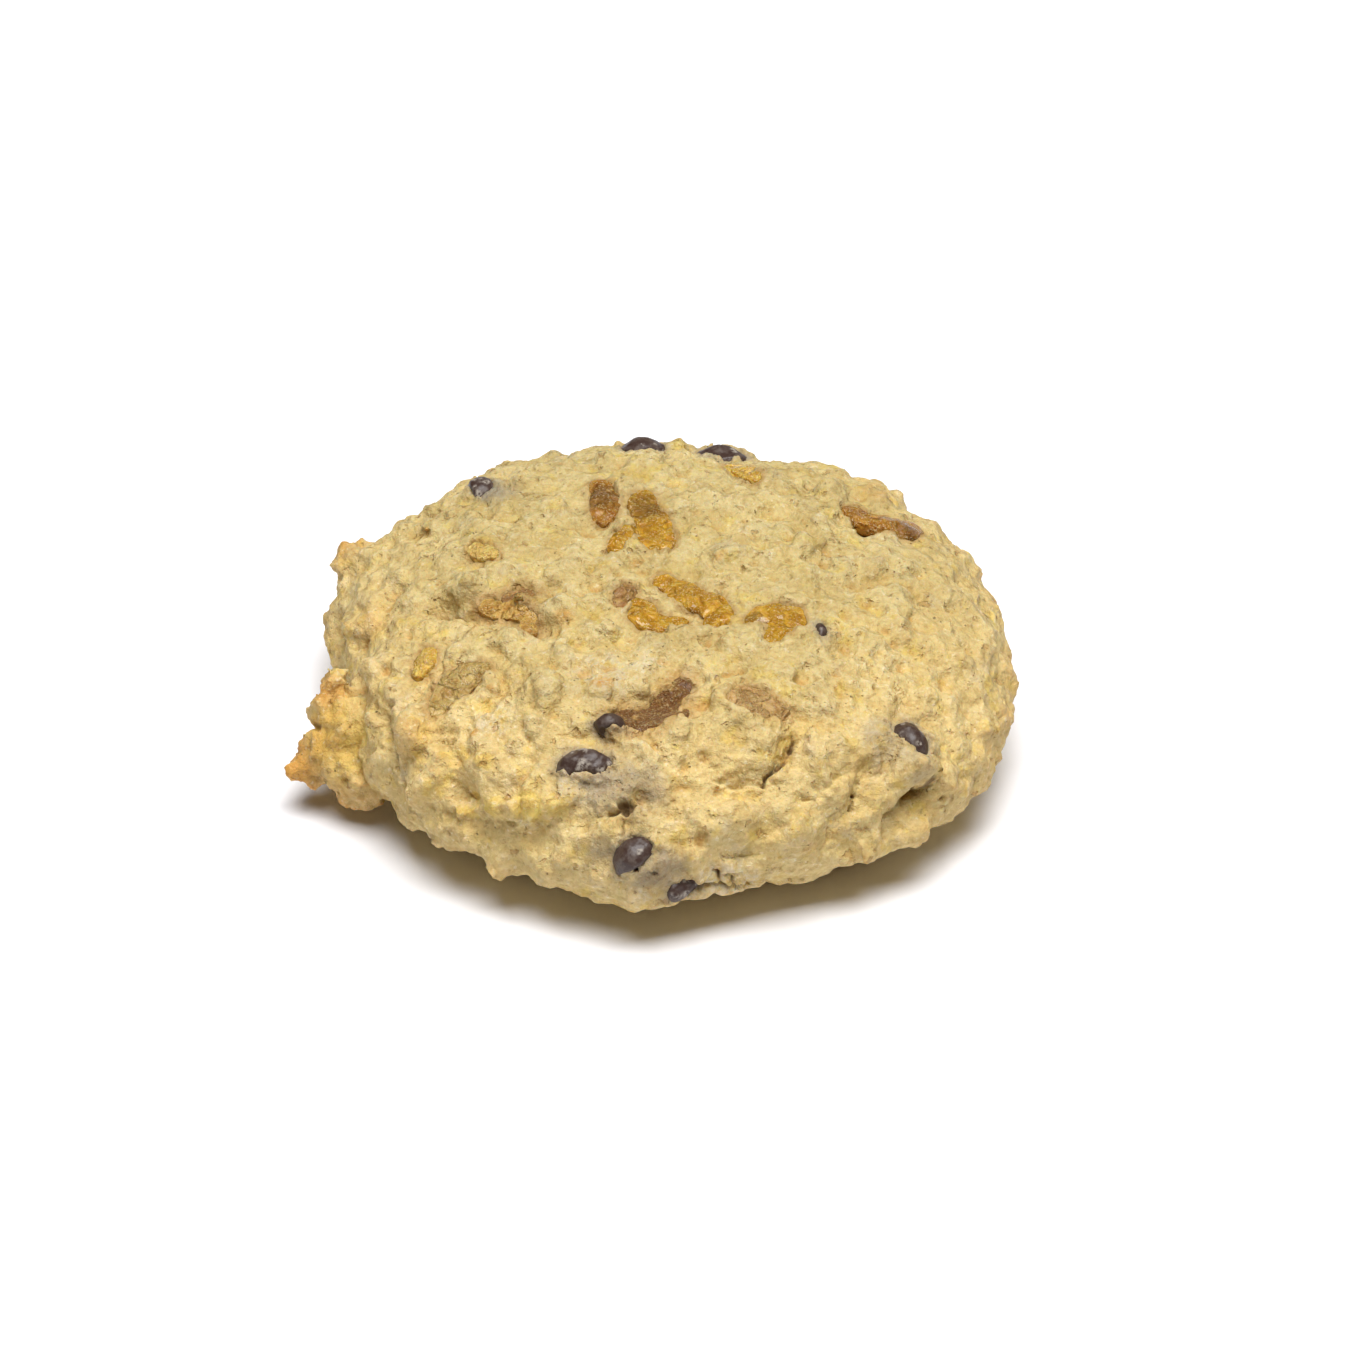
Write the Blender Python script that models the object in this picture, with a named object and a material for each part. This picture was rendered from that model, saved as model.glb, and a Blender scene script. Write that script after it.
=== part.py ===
"""Thick drop cookie with chocolate drops and pieces of candied orange peel.

The dough is one solid: a low round body with a flat baked foot, craggy lumps, cracks and
one large crumb baked onto its side. Every drop and every piece of peel that breaks the
surface is a solid of its own, seated in a pocket of the dough with a small gap.

Metres, +Z up. The origin is the middle of the flat base, on the surface it rests on.
+X is the right side and -Y the front.
"""

import math

import bmesh
import bpy
import numpy as np
from mathutils import Matrix, Vector, noise
from mathutils.bvhtree import BVHTree

MM = 0.001

# Driving dimensions of the body, in metres.
BODY_RADIUS = 45.4 * MM
WAIST_HEIGHT = 10.5 * MM  # the widest level, above the surface it rests on
CROWN_HEIGHT = 16.0 * MM  # from the waist to the top
KEEL_DEPTH = 12.6 * MM  # from the waist to the round foot that the flat base cuts off
CROWN_FULLNESS = 3.2
KEEL_FULLNESS = 3.0

# Radius of the rim at even bearings, counted from +X towards +Y, as shares of BODY_RADIUS.
RIM_SHARES = (
    0.995, 0.995, 0.99, 1.0, 0.995, 0.995, 1.02, 1.005, 1.04,
    0.935, 0.95, 0.98, 0.95, 0.965, 0.93, 0.945, 1.005, 1.01,
)  # fmt: skip

# How finely the body is meshed before and after its relief is cut.
PROFILE_STEPS = 28
RIM_SEGMENTS = 96
RELIEF_VOXEL = 0.75 * MM
SOFTENING = 2  # passes that round the sharpest peaks, as rising dough does
DOUGH_TRIANGLES = 6600

# All-over relief: broad swells, then lumps with creases between them, then crumbs.
SWELL_SIZE, SWELL_HEIGHT = 17 * MM, 0.8 * MM
LUMP_SIZE, LUMP_HEIGHT = 4.6 * MM, 1.1 * MM
CRUMB_SIZE, CRUMB_HEIGHT = 2.3 * MM, 0.4 * MM
RELIEF_SEED = Vector((31.7, 12.9, 4.3))
SMOOTH_SIDE = Vector((24, 10, 24)) * MM  # the quiet part of the crown, with few lumps
SMOOTH_REACH = 36 * MM
LEAST_LUMPINESS = 0.45

# The gap between a drop or a piece of peel and its pocket.
POCKET_GAP = 0.3 * MM

# Lumps that stand out of the body and hollows sunk in it: (x, y, z, radius, height), in mm.
MOUNDS = (
    (-42.4, 18.7, 16, 5.5, 2.6),  # pointed corner of the rim
    (-44, 9, 12, 7, 1.0),
    (-39.7, 1.4, 18.2, 3.6, 1.6),  # block on the left shoulder
    (-34.5, -3.8, 21.8, 3.4, 1.2),
    (-37, -9.1, 19.5, 4.0, 1.5),
    (-34.5, -15.5, 19.5, 4.2, 1.2),
    (-32.2, -24.3, 19.5, 4.4, 2.4),  # round toasted lump
    (-22.3, -30.7, 20.5, 4.6, 1.9),
    (-29.5, -30, 16.5, 3.6, 1.3),
    (-21.1, -36.1, 16.2, 4.2, 1.8),
    (-15.4, -38, 17.7, 3.8, 1.7),
    (-26.3, -0.3, 25.1, 4.4, 1.8),  # above the trough
    (-19.1, -4.8, 26.3, 3.2, 1.5),
    (-26, -10, 25, 4.6, 1.0),
    (-12.5, -8.5, 27, 4.6, 0.9),
    (-13, 3, 27, 4.2, 0.9),
    (-24, -21, 24.6, 3.8, 0.8),
    (-16, -24, 25, 6.5, 1.0),
    (-8.6, -21, 26.2, 4.2, 1.2),
    (0.3, -28.5, 25, 5.0, 1.2),
    (6, -21.5, 26, 4.5, 1.0),
    (9, -28.5, 24, 4.8, 1.2),
    (18.5, -28.5, 23, 4.2, 1.0),
    (21.5, -31.2, 20.5, 4.4, 1.4),
    (25.5, -27.5, 21.7, 4.2, 1.1),
    (30.5, -28.6, 18.3, 5.0, 2.4),  # the lump over the deep hole
    (31.2, -33, 9, 4.4, 1.8),
    (16.5, -38, 14.5, 5.0, 1.3),
    (6.5, -39.5, 17, 6.0, 1.3),
    (-2.5, -41, 12, 6.0, 1.0),
    (-21.2, -37, 7.5, 3.6, 2.6),  # crumbs that hang below the front rim
    (-3.5, -42.5, 6.4, 7.0, 2.4),
    (24.5, -36, 8, 4.0, 1.2),
    (1, 38.6, 20.6, 3.6, 1.4),
    (28.8, 31.2, 18.6, 5.0, 1.0),
    (36, 22, 19, 4.5, 1.2),
    (38.7, 14.9, 18.9, 3.4, 1.6),
    (42.5, 7, 15, 3.4, 1.2),
    (-3, 27, 25, 8, 0.7),
    (-20, 22, 25, 8, 0.7),
    (-22, -6.8, 26, 3.6, -1.8),  # hollows round the sunk peel
    (-17.2, -9.2, 26.3, 3.6, -1.7),
    (-28.2, -4, 24.4, 2.8, -1.0),
    (-2.5, -24.2, 25.6, 4.6, -2.0),
    (1.5, -5.5, 27, 6.5, -0.8),
    (15, -8.5, 26.5, 4.5, -0.7),
    (-4, 14, 26.5, 6.5, -0.8),
    (28, 16, 24, 5, -1.0),
    (-27, -18.5, 23.8, 4.6, -1.2),
    (-26.2, -32.4, 17.2, 2.6, -2.0),  # round pit
    (31.6, -31.6, 13, 3.4, -1.8),
    (10.5, -31.4, 22.8, 3.0, -0.7),
    (28.9, -33.5, 12.5, 2.6, -1.0),
)

# Cracks and folds: (width, depth, points on the surface), in mm.
CRACKS = (
    (1.3, 2.4, ((16.4, -26.7, 23.7), (15.6, -29.1, 22.9), (15, -31.4, 21.9), (13.7, -33.1, 21.2))),
    (1.8, 1.7, ((13.7, -33.1, 21.2), (11.9, -34.5, 20.6), (9.4, -35.8, 20.2), (5.7, -37, 20.1))),
    (2.2, 1.0, ((5.7, -37, 20.1), (1.8, -38.2, 20), (-3, -38.8, 19.8))),
    (1.4, 0.8, ((8, -31.7, 22.9), (10.1, -31, 22.9), (12.1, -31.2, 22.5))),
    (1.2, 2.0, ((24, -32.4, 18.6), (23.8, -33.4, 17.5), (23.6, -34.7, 16))),
    (1.8, 1.5, ((29.5, -27.2, 20.4), (27.2, -30, 19.4), (25.8, -31.5, 18.2), (24.4, -33, 18))),
    (1.4, 1.6, ((31.9, -30.3, 15.2), (30.4, -32.1, 13.9), (28.9, -33.5, 12.5), (27, -35, 10))),
    (1.8, 1.6, ((-25.1, -35.2, 13.6), (-18.4, -38.2, 15), (-11.2, -39.8, 17.8), (-8.2, -39.4, 19.2))),
    (1.5, 1.2, ((-24.7, -36, 11), (-16.4, -39.7, 13.6), (-11.2, -41.6, 14.6), (-7, -42.6, 15))),
    (1.3, 1.4, ((-6.4, -39.6, 19.4), (-5.4, -40.6, 18.2), (-5.2, -41.8, 16.6))),
    (1.4, 2.2, ((0.5, -43, 9.5), (4.5, -43, 9), (8.5, -42, 9))),
    (1.1, 1.1, ((6.4, -41.5, 14.1), (7.7, -41.4, 13.1), (9.8, -41, 12.2))),
    (2.0, 2.0, ((-37.6, -5, 17.5), (-38.4, -11, 16), (-37.6, -17, 13), (-35.5, -22, 8))),
    (1.5, 1.5, ((-31.3, -1, 23.5), (-28.3, -3.3, 24.4), (-25.3, -5.5, 25.2), (-21, -7.5, 26))),
    (1.2, 1.0, ((-35.4, -20.7, 18.6), (-32.8, -18.8, 21.1), (-30.7, -15.8, 22.8), (-27.2, -14.6, 24.2))),
    (1.2, 1.1, ((-24.3, -23.3, 23.3), (-22.9, -21.2, 24.2), (-20.2, -20, 24.9), (-17.5, -20.5, 25.2))),
    (1.5, 1.2, ((3.5, -20.5, 26.2), (1, -23.5, 25.7), (-2.5, -26.5, 25.2), (-7, -27.2, 25))),
    (1.2, 1.0, ((6.5, 0.5, 27), (8.5, -1.5, 27), (11, -3.5, 27))),
    (1.0, 0.9, ((24.5, 17.5, 24.8), (23, 19.5, 24.8), (22.5, 21, 24.6))),
)

# Deep holes under a lump, cut as ellipsoids: (x, y, z), (half sizes) and bearing, in mm, deg.
HOLES = (
    ((31.8, -30.9, 14.6), (2.2, 2.6, 1.1), 35),
    ((-5.6, -39.4, 19.6), (2.0, 2.0, 0.8), 10),
    ((-26.2, -32.6, 17.2), (1.1, 1.5, 0.9), 60),
)

# The crumb baked onto the left side, as overlapping rough balls: (x, y, z, radius), in mm.
SIDE_CRUMB = (
    (-41.2, -14.6, 9.0, 5.0),
    (-40.0, -12.2, 12.0, 3.8),
    (-44.4, -14.6, 8.4, 3.4),
    (-46.4, -15.2, 6.4, 2.6),
    (-42.4, -10.0, 13.6, 2.4),
    (-39.2, -17.2, 6.0, 4.0),
)
CRUMB_ROUGHNESS = 0.24

# Chocolate drops: place on the surface, (length, width, height), heading in degrees, and
# how far the middle is sunk below the surface, in mm.
DROPS = (
    ((-3.4, 37.2, 21.6), (6.4, 5.6, 4.0), 0, 0.8),
    ((6.4, 36.8, 21.9), (7.4, 5.6, 4.0), 175, 0.9),
    ((-25.2, 24.8, 23.0), (5.0, 5.0, 4.2), 35, 1.0),
    ((30.6, -25.8, 20.4), (6.0, 4.4, 4.0), 125, 0.9),
    ((-10.8, -33.2, 22.6), (7.6, 4.8, 4.0), 5, 1.0),
    ((-7.4, -28.6, 24.7), (4.2, 3.4, 3.4), 160, 0.9),
    ((-4.6, -43.4, 14.4), (6.2, 5.4, 4.6), 60, 0.8),
    ((1.6, -43.0, 8.8), (6.6, 4.0, 3.6), 15, 0.9),
    ((19.2, -10.6, 26.2), (3.2, 2.2, 2.4), 80, 0.7),
)

# Pieces of peel: as DROPS, with the bend of the piece in degrees at the end.
PEEL = (
    ((-8.5, 17.2, 26.5), (7.4, 4.0, 3.6), 88, 0.9, 8),
    ((-1.0, 14.8, 26.8), (8.8, 4.6, 3.8), 72, 0.9, -25),
    ((-6.4, 9.0, 26.8), (5.0, 3.2, 3.2), 25, 0.8, 20),
    ((28.4, 16.0, 24.1), (9.8, 4.4, 4.0), 172, 0.8, 18),
    ((-3.3, -7.6, 27.0), (6.4, 5.8, 3.8), 20, 1.0, 30),
    ((3.3, -4.4, 27.0), (9.6, 4.4, 3.8), 140, 0.9, -28),
    ((-7.3, -2.8, 27.0), (5.6, 2.4, 3.0), 70, 0.8, 15),
    ((13.6, -7.9, 26.7), (8.2, 5.6, 3.6), 12, 1.0, -22),
    ((-20.4, -2.6, 26.2), (5.6, 2.8, 3.0), 155, 0.8, 12),
    ((-19.4, -8.6, 26.2), (7.6, 3.4, 3.2), 150, 0.9, 8),
    ((-27.4, -18.2, 23.8), (8.2, 4.4, 3.8), 50, 1.1, 45),
    ((-1.6, -24.6, 25.5), (8.2, 3.8, 3.4), 35, 1.0, 14),
    ((12.0, -24.6, 24.9), (8.0, 5.2, 3.4), 170, 1.1, 10),
    ((11.3, 26.2, 25.2), (4.6, 3.6, 3.0), 140, 0.8, 0),
    ((-31.2, -12.4, 23.0), (4.6, 2.8, 2.8), 65, 0.8, 10),
    ((-24.3, 7.4, 25.9), (4.4, 3.2, 2.8), 10, 0.8, 0),
)
PIECE_SEGMENTS, PIECE_RINGS = 10, 7
PEEL_FULLNESS = 3.0
PEEL_WRINKLE = 0.10
DROP_WOBBLE = 0.05

DOUGH_COLOUR = (0.72, 0.53, 0.24, 1)
CHOCOLATE_COLOUR = (0.055, 0.032, 0.028, 1)
PEEL_COLOUR = (0.50, 0.23, 0.03, 1)


# Helpers


def clear_scene():
    for old in list(bpy.data.objects):
        bpy.data.objects.remove(old)


def material(name, colour, roughness):
    made = bpy.data.materials.new(name)
    made.use_nodes = True
    shader = made.node_tree.nodes["Principled BSDF"]
    shader.inputs["Base Color"].default_value = colour
    shader.inputs["Roughness"].default_value = roughness
    shader.inputs["Metallic"].default_value = 0
    return made


def linked_object(name, mesh):
    made = bpy.data.objects.new(name, mesh)
    bpy.context.scene.collection.objects.link(made)
    return made


def object_from_bmesh(name, bm):
    mesh = bpy.data.meshes.new(name)
    bm.to_mesh(mesh)
    bm.free()
    return linked_object(name, mesh)


def apply_modifiers(obj):
    """Puts the evaluated mesh in the object and takes its modifiers off."""
    graph = bpy.context.evaluated_depsgraph_get()
    made = bpy.data.meshes.new_from_object(obj.evaluated_get(graph))
    old = obj.data
    obj.modifiers.clear()
    obj.data = made
    bpy.data.meshes.remove(old)


def points_of(mesh):
    points = np.empty(len(mesh.vertices) * 3, np.float32)
    mesh.vertices.foreach_get("co", points)
    return points.reshape(-1, 3).astype(float)


def normals_of(mesh):
    normals = np.empty(len(mesh.vertices) * 3, np.float32)
    mesh.vertices.foreach_get("normal", normals)
    return normals.reshape(-1, 3).astype(float)


def set_points(mesh, points):
    mesh.vertices.foreach_set("co", points.astype(np.float32).ravel())
    mesh.update()


def signed_power(value, exponent):
    return math.copysign(abs(value) ** exponent, value)


# The body


def rim_radius(bearing):
    """The rim's radius at a bearing in radians, on a smooth closed curve through RIM_SHARES."""
    count = len(RIM_SHARES)
    place = bearing / math.tau * count
    before = math.floor(place)
    share = place - before
    a, b, c, d = (RIM_SHARES[(before + k) % count] for k in (-1, 0, 1, 2))
    cubic = b + 0.5 * share * (
        c - a + share * (2 * a - 5 * b + 4 * c - d + share * (3 * (b - c) + d - a))
    )
    return BODY_RADIUS * cubic


def profile_point(angle):
    """(share of the rim's radius, height) at an angle from the foot, -90, to the crown, 90."""
    above = angle > 0
    fullness = CROWN_FULLNESS if above else KEEL_FULLNESS
    height = CROWN_HEIGHT if above else KEEL_DEPTH
    share = max(math.cos(angle), 0) ** (2 / fullness)
    return share, WAIST_HEIGHT + height * math.sin(angle)


def smooth_body():
    """The body with no relief: the profile turned round, its radius following the rim."""
    bm = bmesh.new()
    rings = []
    for step in range(1, PROFILE_STEPS):
        angle = math.pi * (step / PROFILE_STEPS - 0.5)
        share, height = profile_point(angle)
        ring = []
        for k in range(RIM_SEGMENTS):
            bearing = math.tau * k / RIM_SEGMENTS
            radius = share * rim_radius(bearing)
            at = (radius * math.cos(bearing), radius * math.sin(bearing), height)
            ring.append(bm.verts.new(at))
        rings.append(ring)
    for lower, upper in zip(rings, rings[1:]):
        for k in range(RIM_SEGMENTS):
            after = (k + 1) % RIM_SEGMENTS
            bm.faces.new((lower[k], lower[after], upper[after], upper[k]))
    bm.faces.new(reversed(rings[0]))
    bm.faces.new(rings[-1])
    body = object_from_bmesh("dough", bm)
    remesh = body.modifiers.new("even mesh", "REMESH")
    remesh.mode = "VOXEL"
    remesh.voxel_size = RELIEF_VOXEL
    apply_modifiers(body)
    return body


def bump(distance, radius):
    """1 at the middle of a lump, falling smoothly to 0 at its radius."""
    inside = np.clip(1 - (distance / radius) ** 2, 0, 1)
    return inside**2


def distance_to_line(points, line):
    """Each point's distance to a line through a few points."""
    nearest = np.full(len(points), np.inf)
    for start, end in zip(line, line[1:]):
        start, along = np.array(start), np.array(end) - np.array(start)
        share = np.clip((points - start) @ along / (along @ along), 0, 1)
        gap = points - start - share[:, None] * along
        nearest = np.minimum(nearest, np.linalg.norm(gap, axis=1))
    return nearest


def creased(point, size):
    """Rounded lumps of a size with sharp creases between them, from about -0.5 to 0.5."""
    return abs(noise.noise(point / size + RELIEF_SEED)) * 2 - 0.5


def relief(points):
    """How far each point of the smooth body moves along its normal."""
    height = np.zeros(len(points))
    calm = bump(np.linalg.norm(points - np.array(SMOOTH_SIDE), axis=1), SMOOTH_REACH)
    lumpiness = 1 - (1 - LEAST_LUMPINESS) * calm
    for index, point in enumerate(points):
        place = Vector(point)
        swell = noise.noise(place / SWELL_SIZE + RELIEF_SEED)
        lumps = creased(place, LUMP_SIZE) * LUMP_HEIGHT
        crumbs = creased(place, CRUMB_SIZE) * CRUMB_HEIGHT
        height[index] = swell * SWELL_HEIGHT + lumpiness[index] * (lumps + crumbs)
    for x, y, z, radius, rise in MOUNDS:
        distance = np.linalg.norm(points - np.array((x, y, z)) * MM, axis=1)
        height += bump(distance, radius * MM) * rise * MM
    for width, depth, line in CRACKS:
        distance = distance_to_line(points, np.array(line) * MM)
        height -= bump(distance, width * MM) * depth * MM
    return height


def add_relief(body):
    points, normals = points_of(body.data), normals_of(body.data)
    set_points(body.data, points + normals * relief(points)[:, None])
    soften = body.modifiers.new("soft peaks", "SMOOTH")
    soften.factor = 0.5
    soften.iterations = SOFTENING
    thin = body.modifiers.new("fewer faces", "DECIMATE")
    faces = sum(len(face.vertices) - 2 for face in body.data.polygons)
    thin.ratio = DOUGH_TRIANGLES / faces
    apply_modifiers(body)


def cut_flat_base(body):
    """Cuts the foot off at the surface the cookie rests on, which leaves one flat face."""
    bm = bmesh.new()
    bm.from_mesh(body.data)
    everything = bm.verts[:] + bm.edges[:] + bm.faces[:]
    cut = bmesh.ops.bisect_plane(
        bm, geom=everything, plane_co=(0, 0, 0), plane_no=(0, 0, -1), clear_outer=True
    )
    edges = [item for item in cut["geom_cut"] if isinstance(item, bmesh.types.BMEdge)]
    bmesh.ops.contextual_create(bm, geom=edges)
    bmesh.ops.recalc_face_normals(bm, faces=bm.faces)
    bm.to_mesh(body.data)
    bm.free()


# Pieces


def ellipsoid(name, half_sizes, subdivisions=2):
    bm = bmesh.new()
    bmesh.ops.create_icosphere(bm, subdivisions=subdivisions, radius=1)
    bmesh.ops.scale(bm, vec=half_sizes, verts=bm.verts)
    return object_from_bmesh(name, bm)


def rough_ball(name, centre, radius):
    """A crumb of dough: a ball pushed in and out into flat facets and corners."""
    bm = bmesh.new()
    bmesh.ops.create_icosphere(bm, subdivisions=2, radius=radius)
    for vertex in bm.verts:
        place = (vertex.co + centre) / (radius * 0.8)
        vertex.co *= 1 + CRUMB_ROUGHNESS * 2 * noise.noise(place + RELIEF_SEED)
    made = object_from_bmesh(name, bm)
    made.location = centre
    return made


def drop_shape(size, gap, seed):
    """A chocolate drop lying on its flat side, softened by the oven. gap makes it larger."""
    length, width, height = (side * MM / 2 + gap for side in size)
    bm = bmesh.new()
    bmesh.ops.create_uvsphere(
        bm, u_segments=PIECE_SEGMENTS, v_segments=PIECE_RINGS, radius=1
    )
    for vertex in bm.verts:
        x, y, z = vertex.co
        narrow = 1 - 0.25 * max(z, 0)
        wobble = 1 + DROP_WOBBLE * noise.noise(vertex.co * 1.5 + seed)
        vertex.co = (
            x * length * narrow * wobble,
            y * width * narrow * wobble,
            z * height * wobble,
        )
    return bm


def peel_shape(size, gap, seed, bend):
    """A candied strip: a rounded bar, bent over its length and a little shrunken."""
    length, width, height = (side * MM / 2 + gap for side in size)
    power = 2 / PEEL_FULLNESS
    turn = math.radians(bend)
    bm = bmesh.new()
    bmesh.ops.create_uvsphere(
        bm, u_segments=PIECE_SEGMENTS, v_segments=PIECE_RINGS, radius=1
    )
    for vertex in bm.verts:
        wrinkle = 1 + PEEL_WRINKLE * noise.noise(vertex.co * 1.8 + seed)
        x, y, z = (signed_power(c, power) * wrinkle for c in vertex.co)
        y = y * width + length * 0.5 * math.sin(turn) * (x * x - 0.4)
        vertex.co = (x * length, y, z * height)
    return bm


def seat(tree, place, heading, sink):
    """The matrix of a piece set into the dough: its own Z along the surface's normal."""
    nearest, _, _, _ = tree.find_nearest(Vector(place) * MM)
    normal = Vector()
    for _, facet_normal, _, distance in tree.find_nearest_range(nearest, 3 * MM):
        normal += facet_normal * (3.5 * MM - distance)
    normal.normalize()
    angle = math.radians(heading)
    along = Vector((math.cos(angle), math.sin(angle), 0))
    across = normal.cross(along).normalized()
    along = across.cross(normal)
    turn = Matrix((along, across, normal)).transposed().to_4x4()
    return Matrix.Translation(nearest - normal * sink * MM) @ turn


def placed(name, bm, matrix):
    made = object_from_bmesh(name, bm)
    made.matrix_world = matrix
    return made


def add_pieces(tree, pockets):
    """Makes every drop and piece of peel, and a pocket cutter a little larger than each."""
    chocolate = material("chocolate", CHOCOLATE_COLOUR, 0.45)
    candied = material("candied peel", PEEL_COLOUR, 0.25)
    for index, (place, size, heading, sink) in enumerate(DROPS, 1):
        matrix, seed = seat(tree, place, heading, sink), Vector((index, 7, 2))
        drop = placed(f"chocolate_drop_{index}", drop_shape(size, 0, seed), matrix)
        drop.data.materials.append(chocolate)
        cutter = placed(f"drop pocket {index}", drop_shape(size, POCKET_GAP, seed), matrix)
        move_to(pockets, cutter)
    for index, (place, size, heading, sink, bend) in enumerate(PEEL, 1):
        matrix, seed = seat(tree, place, heading, sink), Vector((3, index, 11))
        strip = placed(f"orange_peel_{index}", peel_shape(size, 0, seed, bend), matrix)
        strip.data.materials.append(candied)
        cutter = placed(
            f"peel pocket {index}", peel_shape(size, POCKET_GAP, seed, bend), matrix
        )
        move_to(pockets, cutter)


# Putting the dough together


def move_to(collection, obj):
    """Keeps a cutter or a lump in a collection of its own, out of the finished part."""
    for old in list(obj.users_collection):
        old.objects.unlink(obj)
    collection.objects.link(obj)
    obj.hide_render = True
    obj.display_type = "WIRE"


def new_collection(name):
    made = bpy.data.collections.new(name)
    bpy.context.scene.collection.children.link(made)
    return made


def combine(body, collection, operation):
    """Joins or cuts with all of a collection's objects, then removes them."""
    bpy.context.view_layer.update()
    boolean = body.modifiers.new(operation.lower(), "BOOLEAN")
    boolean.operation = operation
    boolean.operand_type = "COLLECTION"
    boolean.collection = collection
    boolean.solver = "EXACT"
    apply_modifiers(body)
    for helper in list(collection.objects):
        bpy.data.objects.remove(helper)
    bpy.data.collections.remove(collection)


def add_side_crumb(body):
    lumps = new_collection("side crumb")
    for index, (x, y, z, radius) in enumerate(SIDE_CRUMB):
        move_to(lumps, rough_ball(f"lump {index}", Vector((x, y, z)) * MM, radius * MM))
    combine(body, lumps, "UNION")


def cut_holes(body):
    holes = new_collection("holes")
    for index, (centre, half_sizes, bearing) in enumerate(HOLES):
        hole = ellipsoid(f"hole {index}", Vector(half_sizes) * MM)
        hole.location = Vector(centre) * MM
        hole.rotation_euler.z = math.radians(bearing)
        move_to(holes, hole)
    combine(body, holes, "DIFFERENCE")


def surface_tree(body):
    return BVHTree.FromPolygons(
        [vertex.co for vertex in body.data.vertices],
        [tuple(face.vertices) for face in body.data.polygons],
    )


def main():
    clear_scene()
    dough = smooth_body()
    add_relief(dough)
    add_side_crumb(dough)
    cut_holes(dough)
    cut_flat_base(dough)
    pockets = new_collection("pockets")
    add_pieces(surface_tree(dough), pockets)
    combine(dough, pockets, "DIFFERENCE")
    dough.data.materials.clear()
    dough.data.materials.append(material("baked dough", DOUGH_COLOUR, 0.8))


main()
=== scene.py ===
"""Looks of a thick drop cookie with chocolate drops and pieces of candied orange peel.

The dough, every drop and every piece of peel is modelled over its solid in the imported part:
crumbs of dough are set on the body and fused with it, the skin is drawn down round each
piece, and cracks and pores are sunk in it. All sizes in the tables are in millimetres, in
the part's own frame: the origin is the middle of the flat base, +Z up, -Y the front.
"""

import math
import random

import bpy
import numpy as np
from mathutils import Matrix, Vector, noise
from mathutils.bvhtree import BVHTree


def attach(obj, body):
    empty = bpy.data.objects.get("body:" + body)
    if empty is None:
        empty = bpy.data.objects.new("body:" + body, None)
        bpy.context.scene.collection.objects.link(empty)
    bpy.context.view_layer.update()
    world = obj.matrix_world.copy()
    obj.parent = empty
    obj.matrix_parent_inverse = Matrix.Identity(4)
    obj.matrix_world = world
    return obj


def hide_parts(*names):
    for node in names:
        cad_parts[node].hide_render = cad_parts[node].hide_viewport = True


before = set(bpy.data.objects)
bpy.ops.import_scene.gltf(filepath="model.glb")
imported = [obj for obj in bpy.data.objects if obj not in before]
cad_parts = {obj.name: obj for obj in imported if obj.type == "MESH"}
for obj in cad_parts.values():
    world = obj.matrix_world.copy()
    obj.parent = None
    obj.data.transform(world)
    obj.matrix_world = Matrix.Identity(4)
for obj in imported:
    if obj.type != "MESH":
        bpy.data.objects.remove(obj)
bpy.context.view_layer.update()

bl_info = {
    "name": "Drop Cookie with Peel and Chocolate",
    "version": (1, 0, 0),
    "blender": (4, 5, 0),
    "location": "3D View > Sidebar > Cookie",
    "description": "Finishes a drop cookie: its craggy dough, chocolate drops and candied peel",
    "category": "Object",
}

MM = 0.001
WHITE = (1.0, 1.0, 1.0)

# The body as a cushion, in millimetres: its radius, the height of its widest line, and how far
# the crown stands above that.
BODY_RADIUS = 45.4
WAIST = 10.5
CROWN_HEIGHT = 16.0

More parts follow.
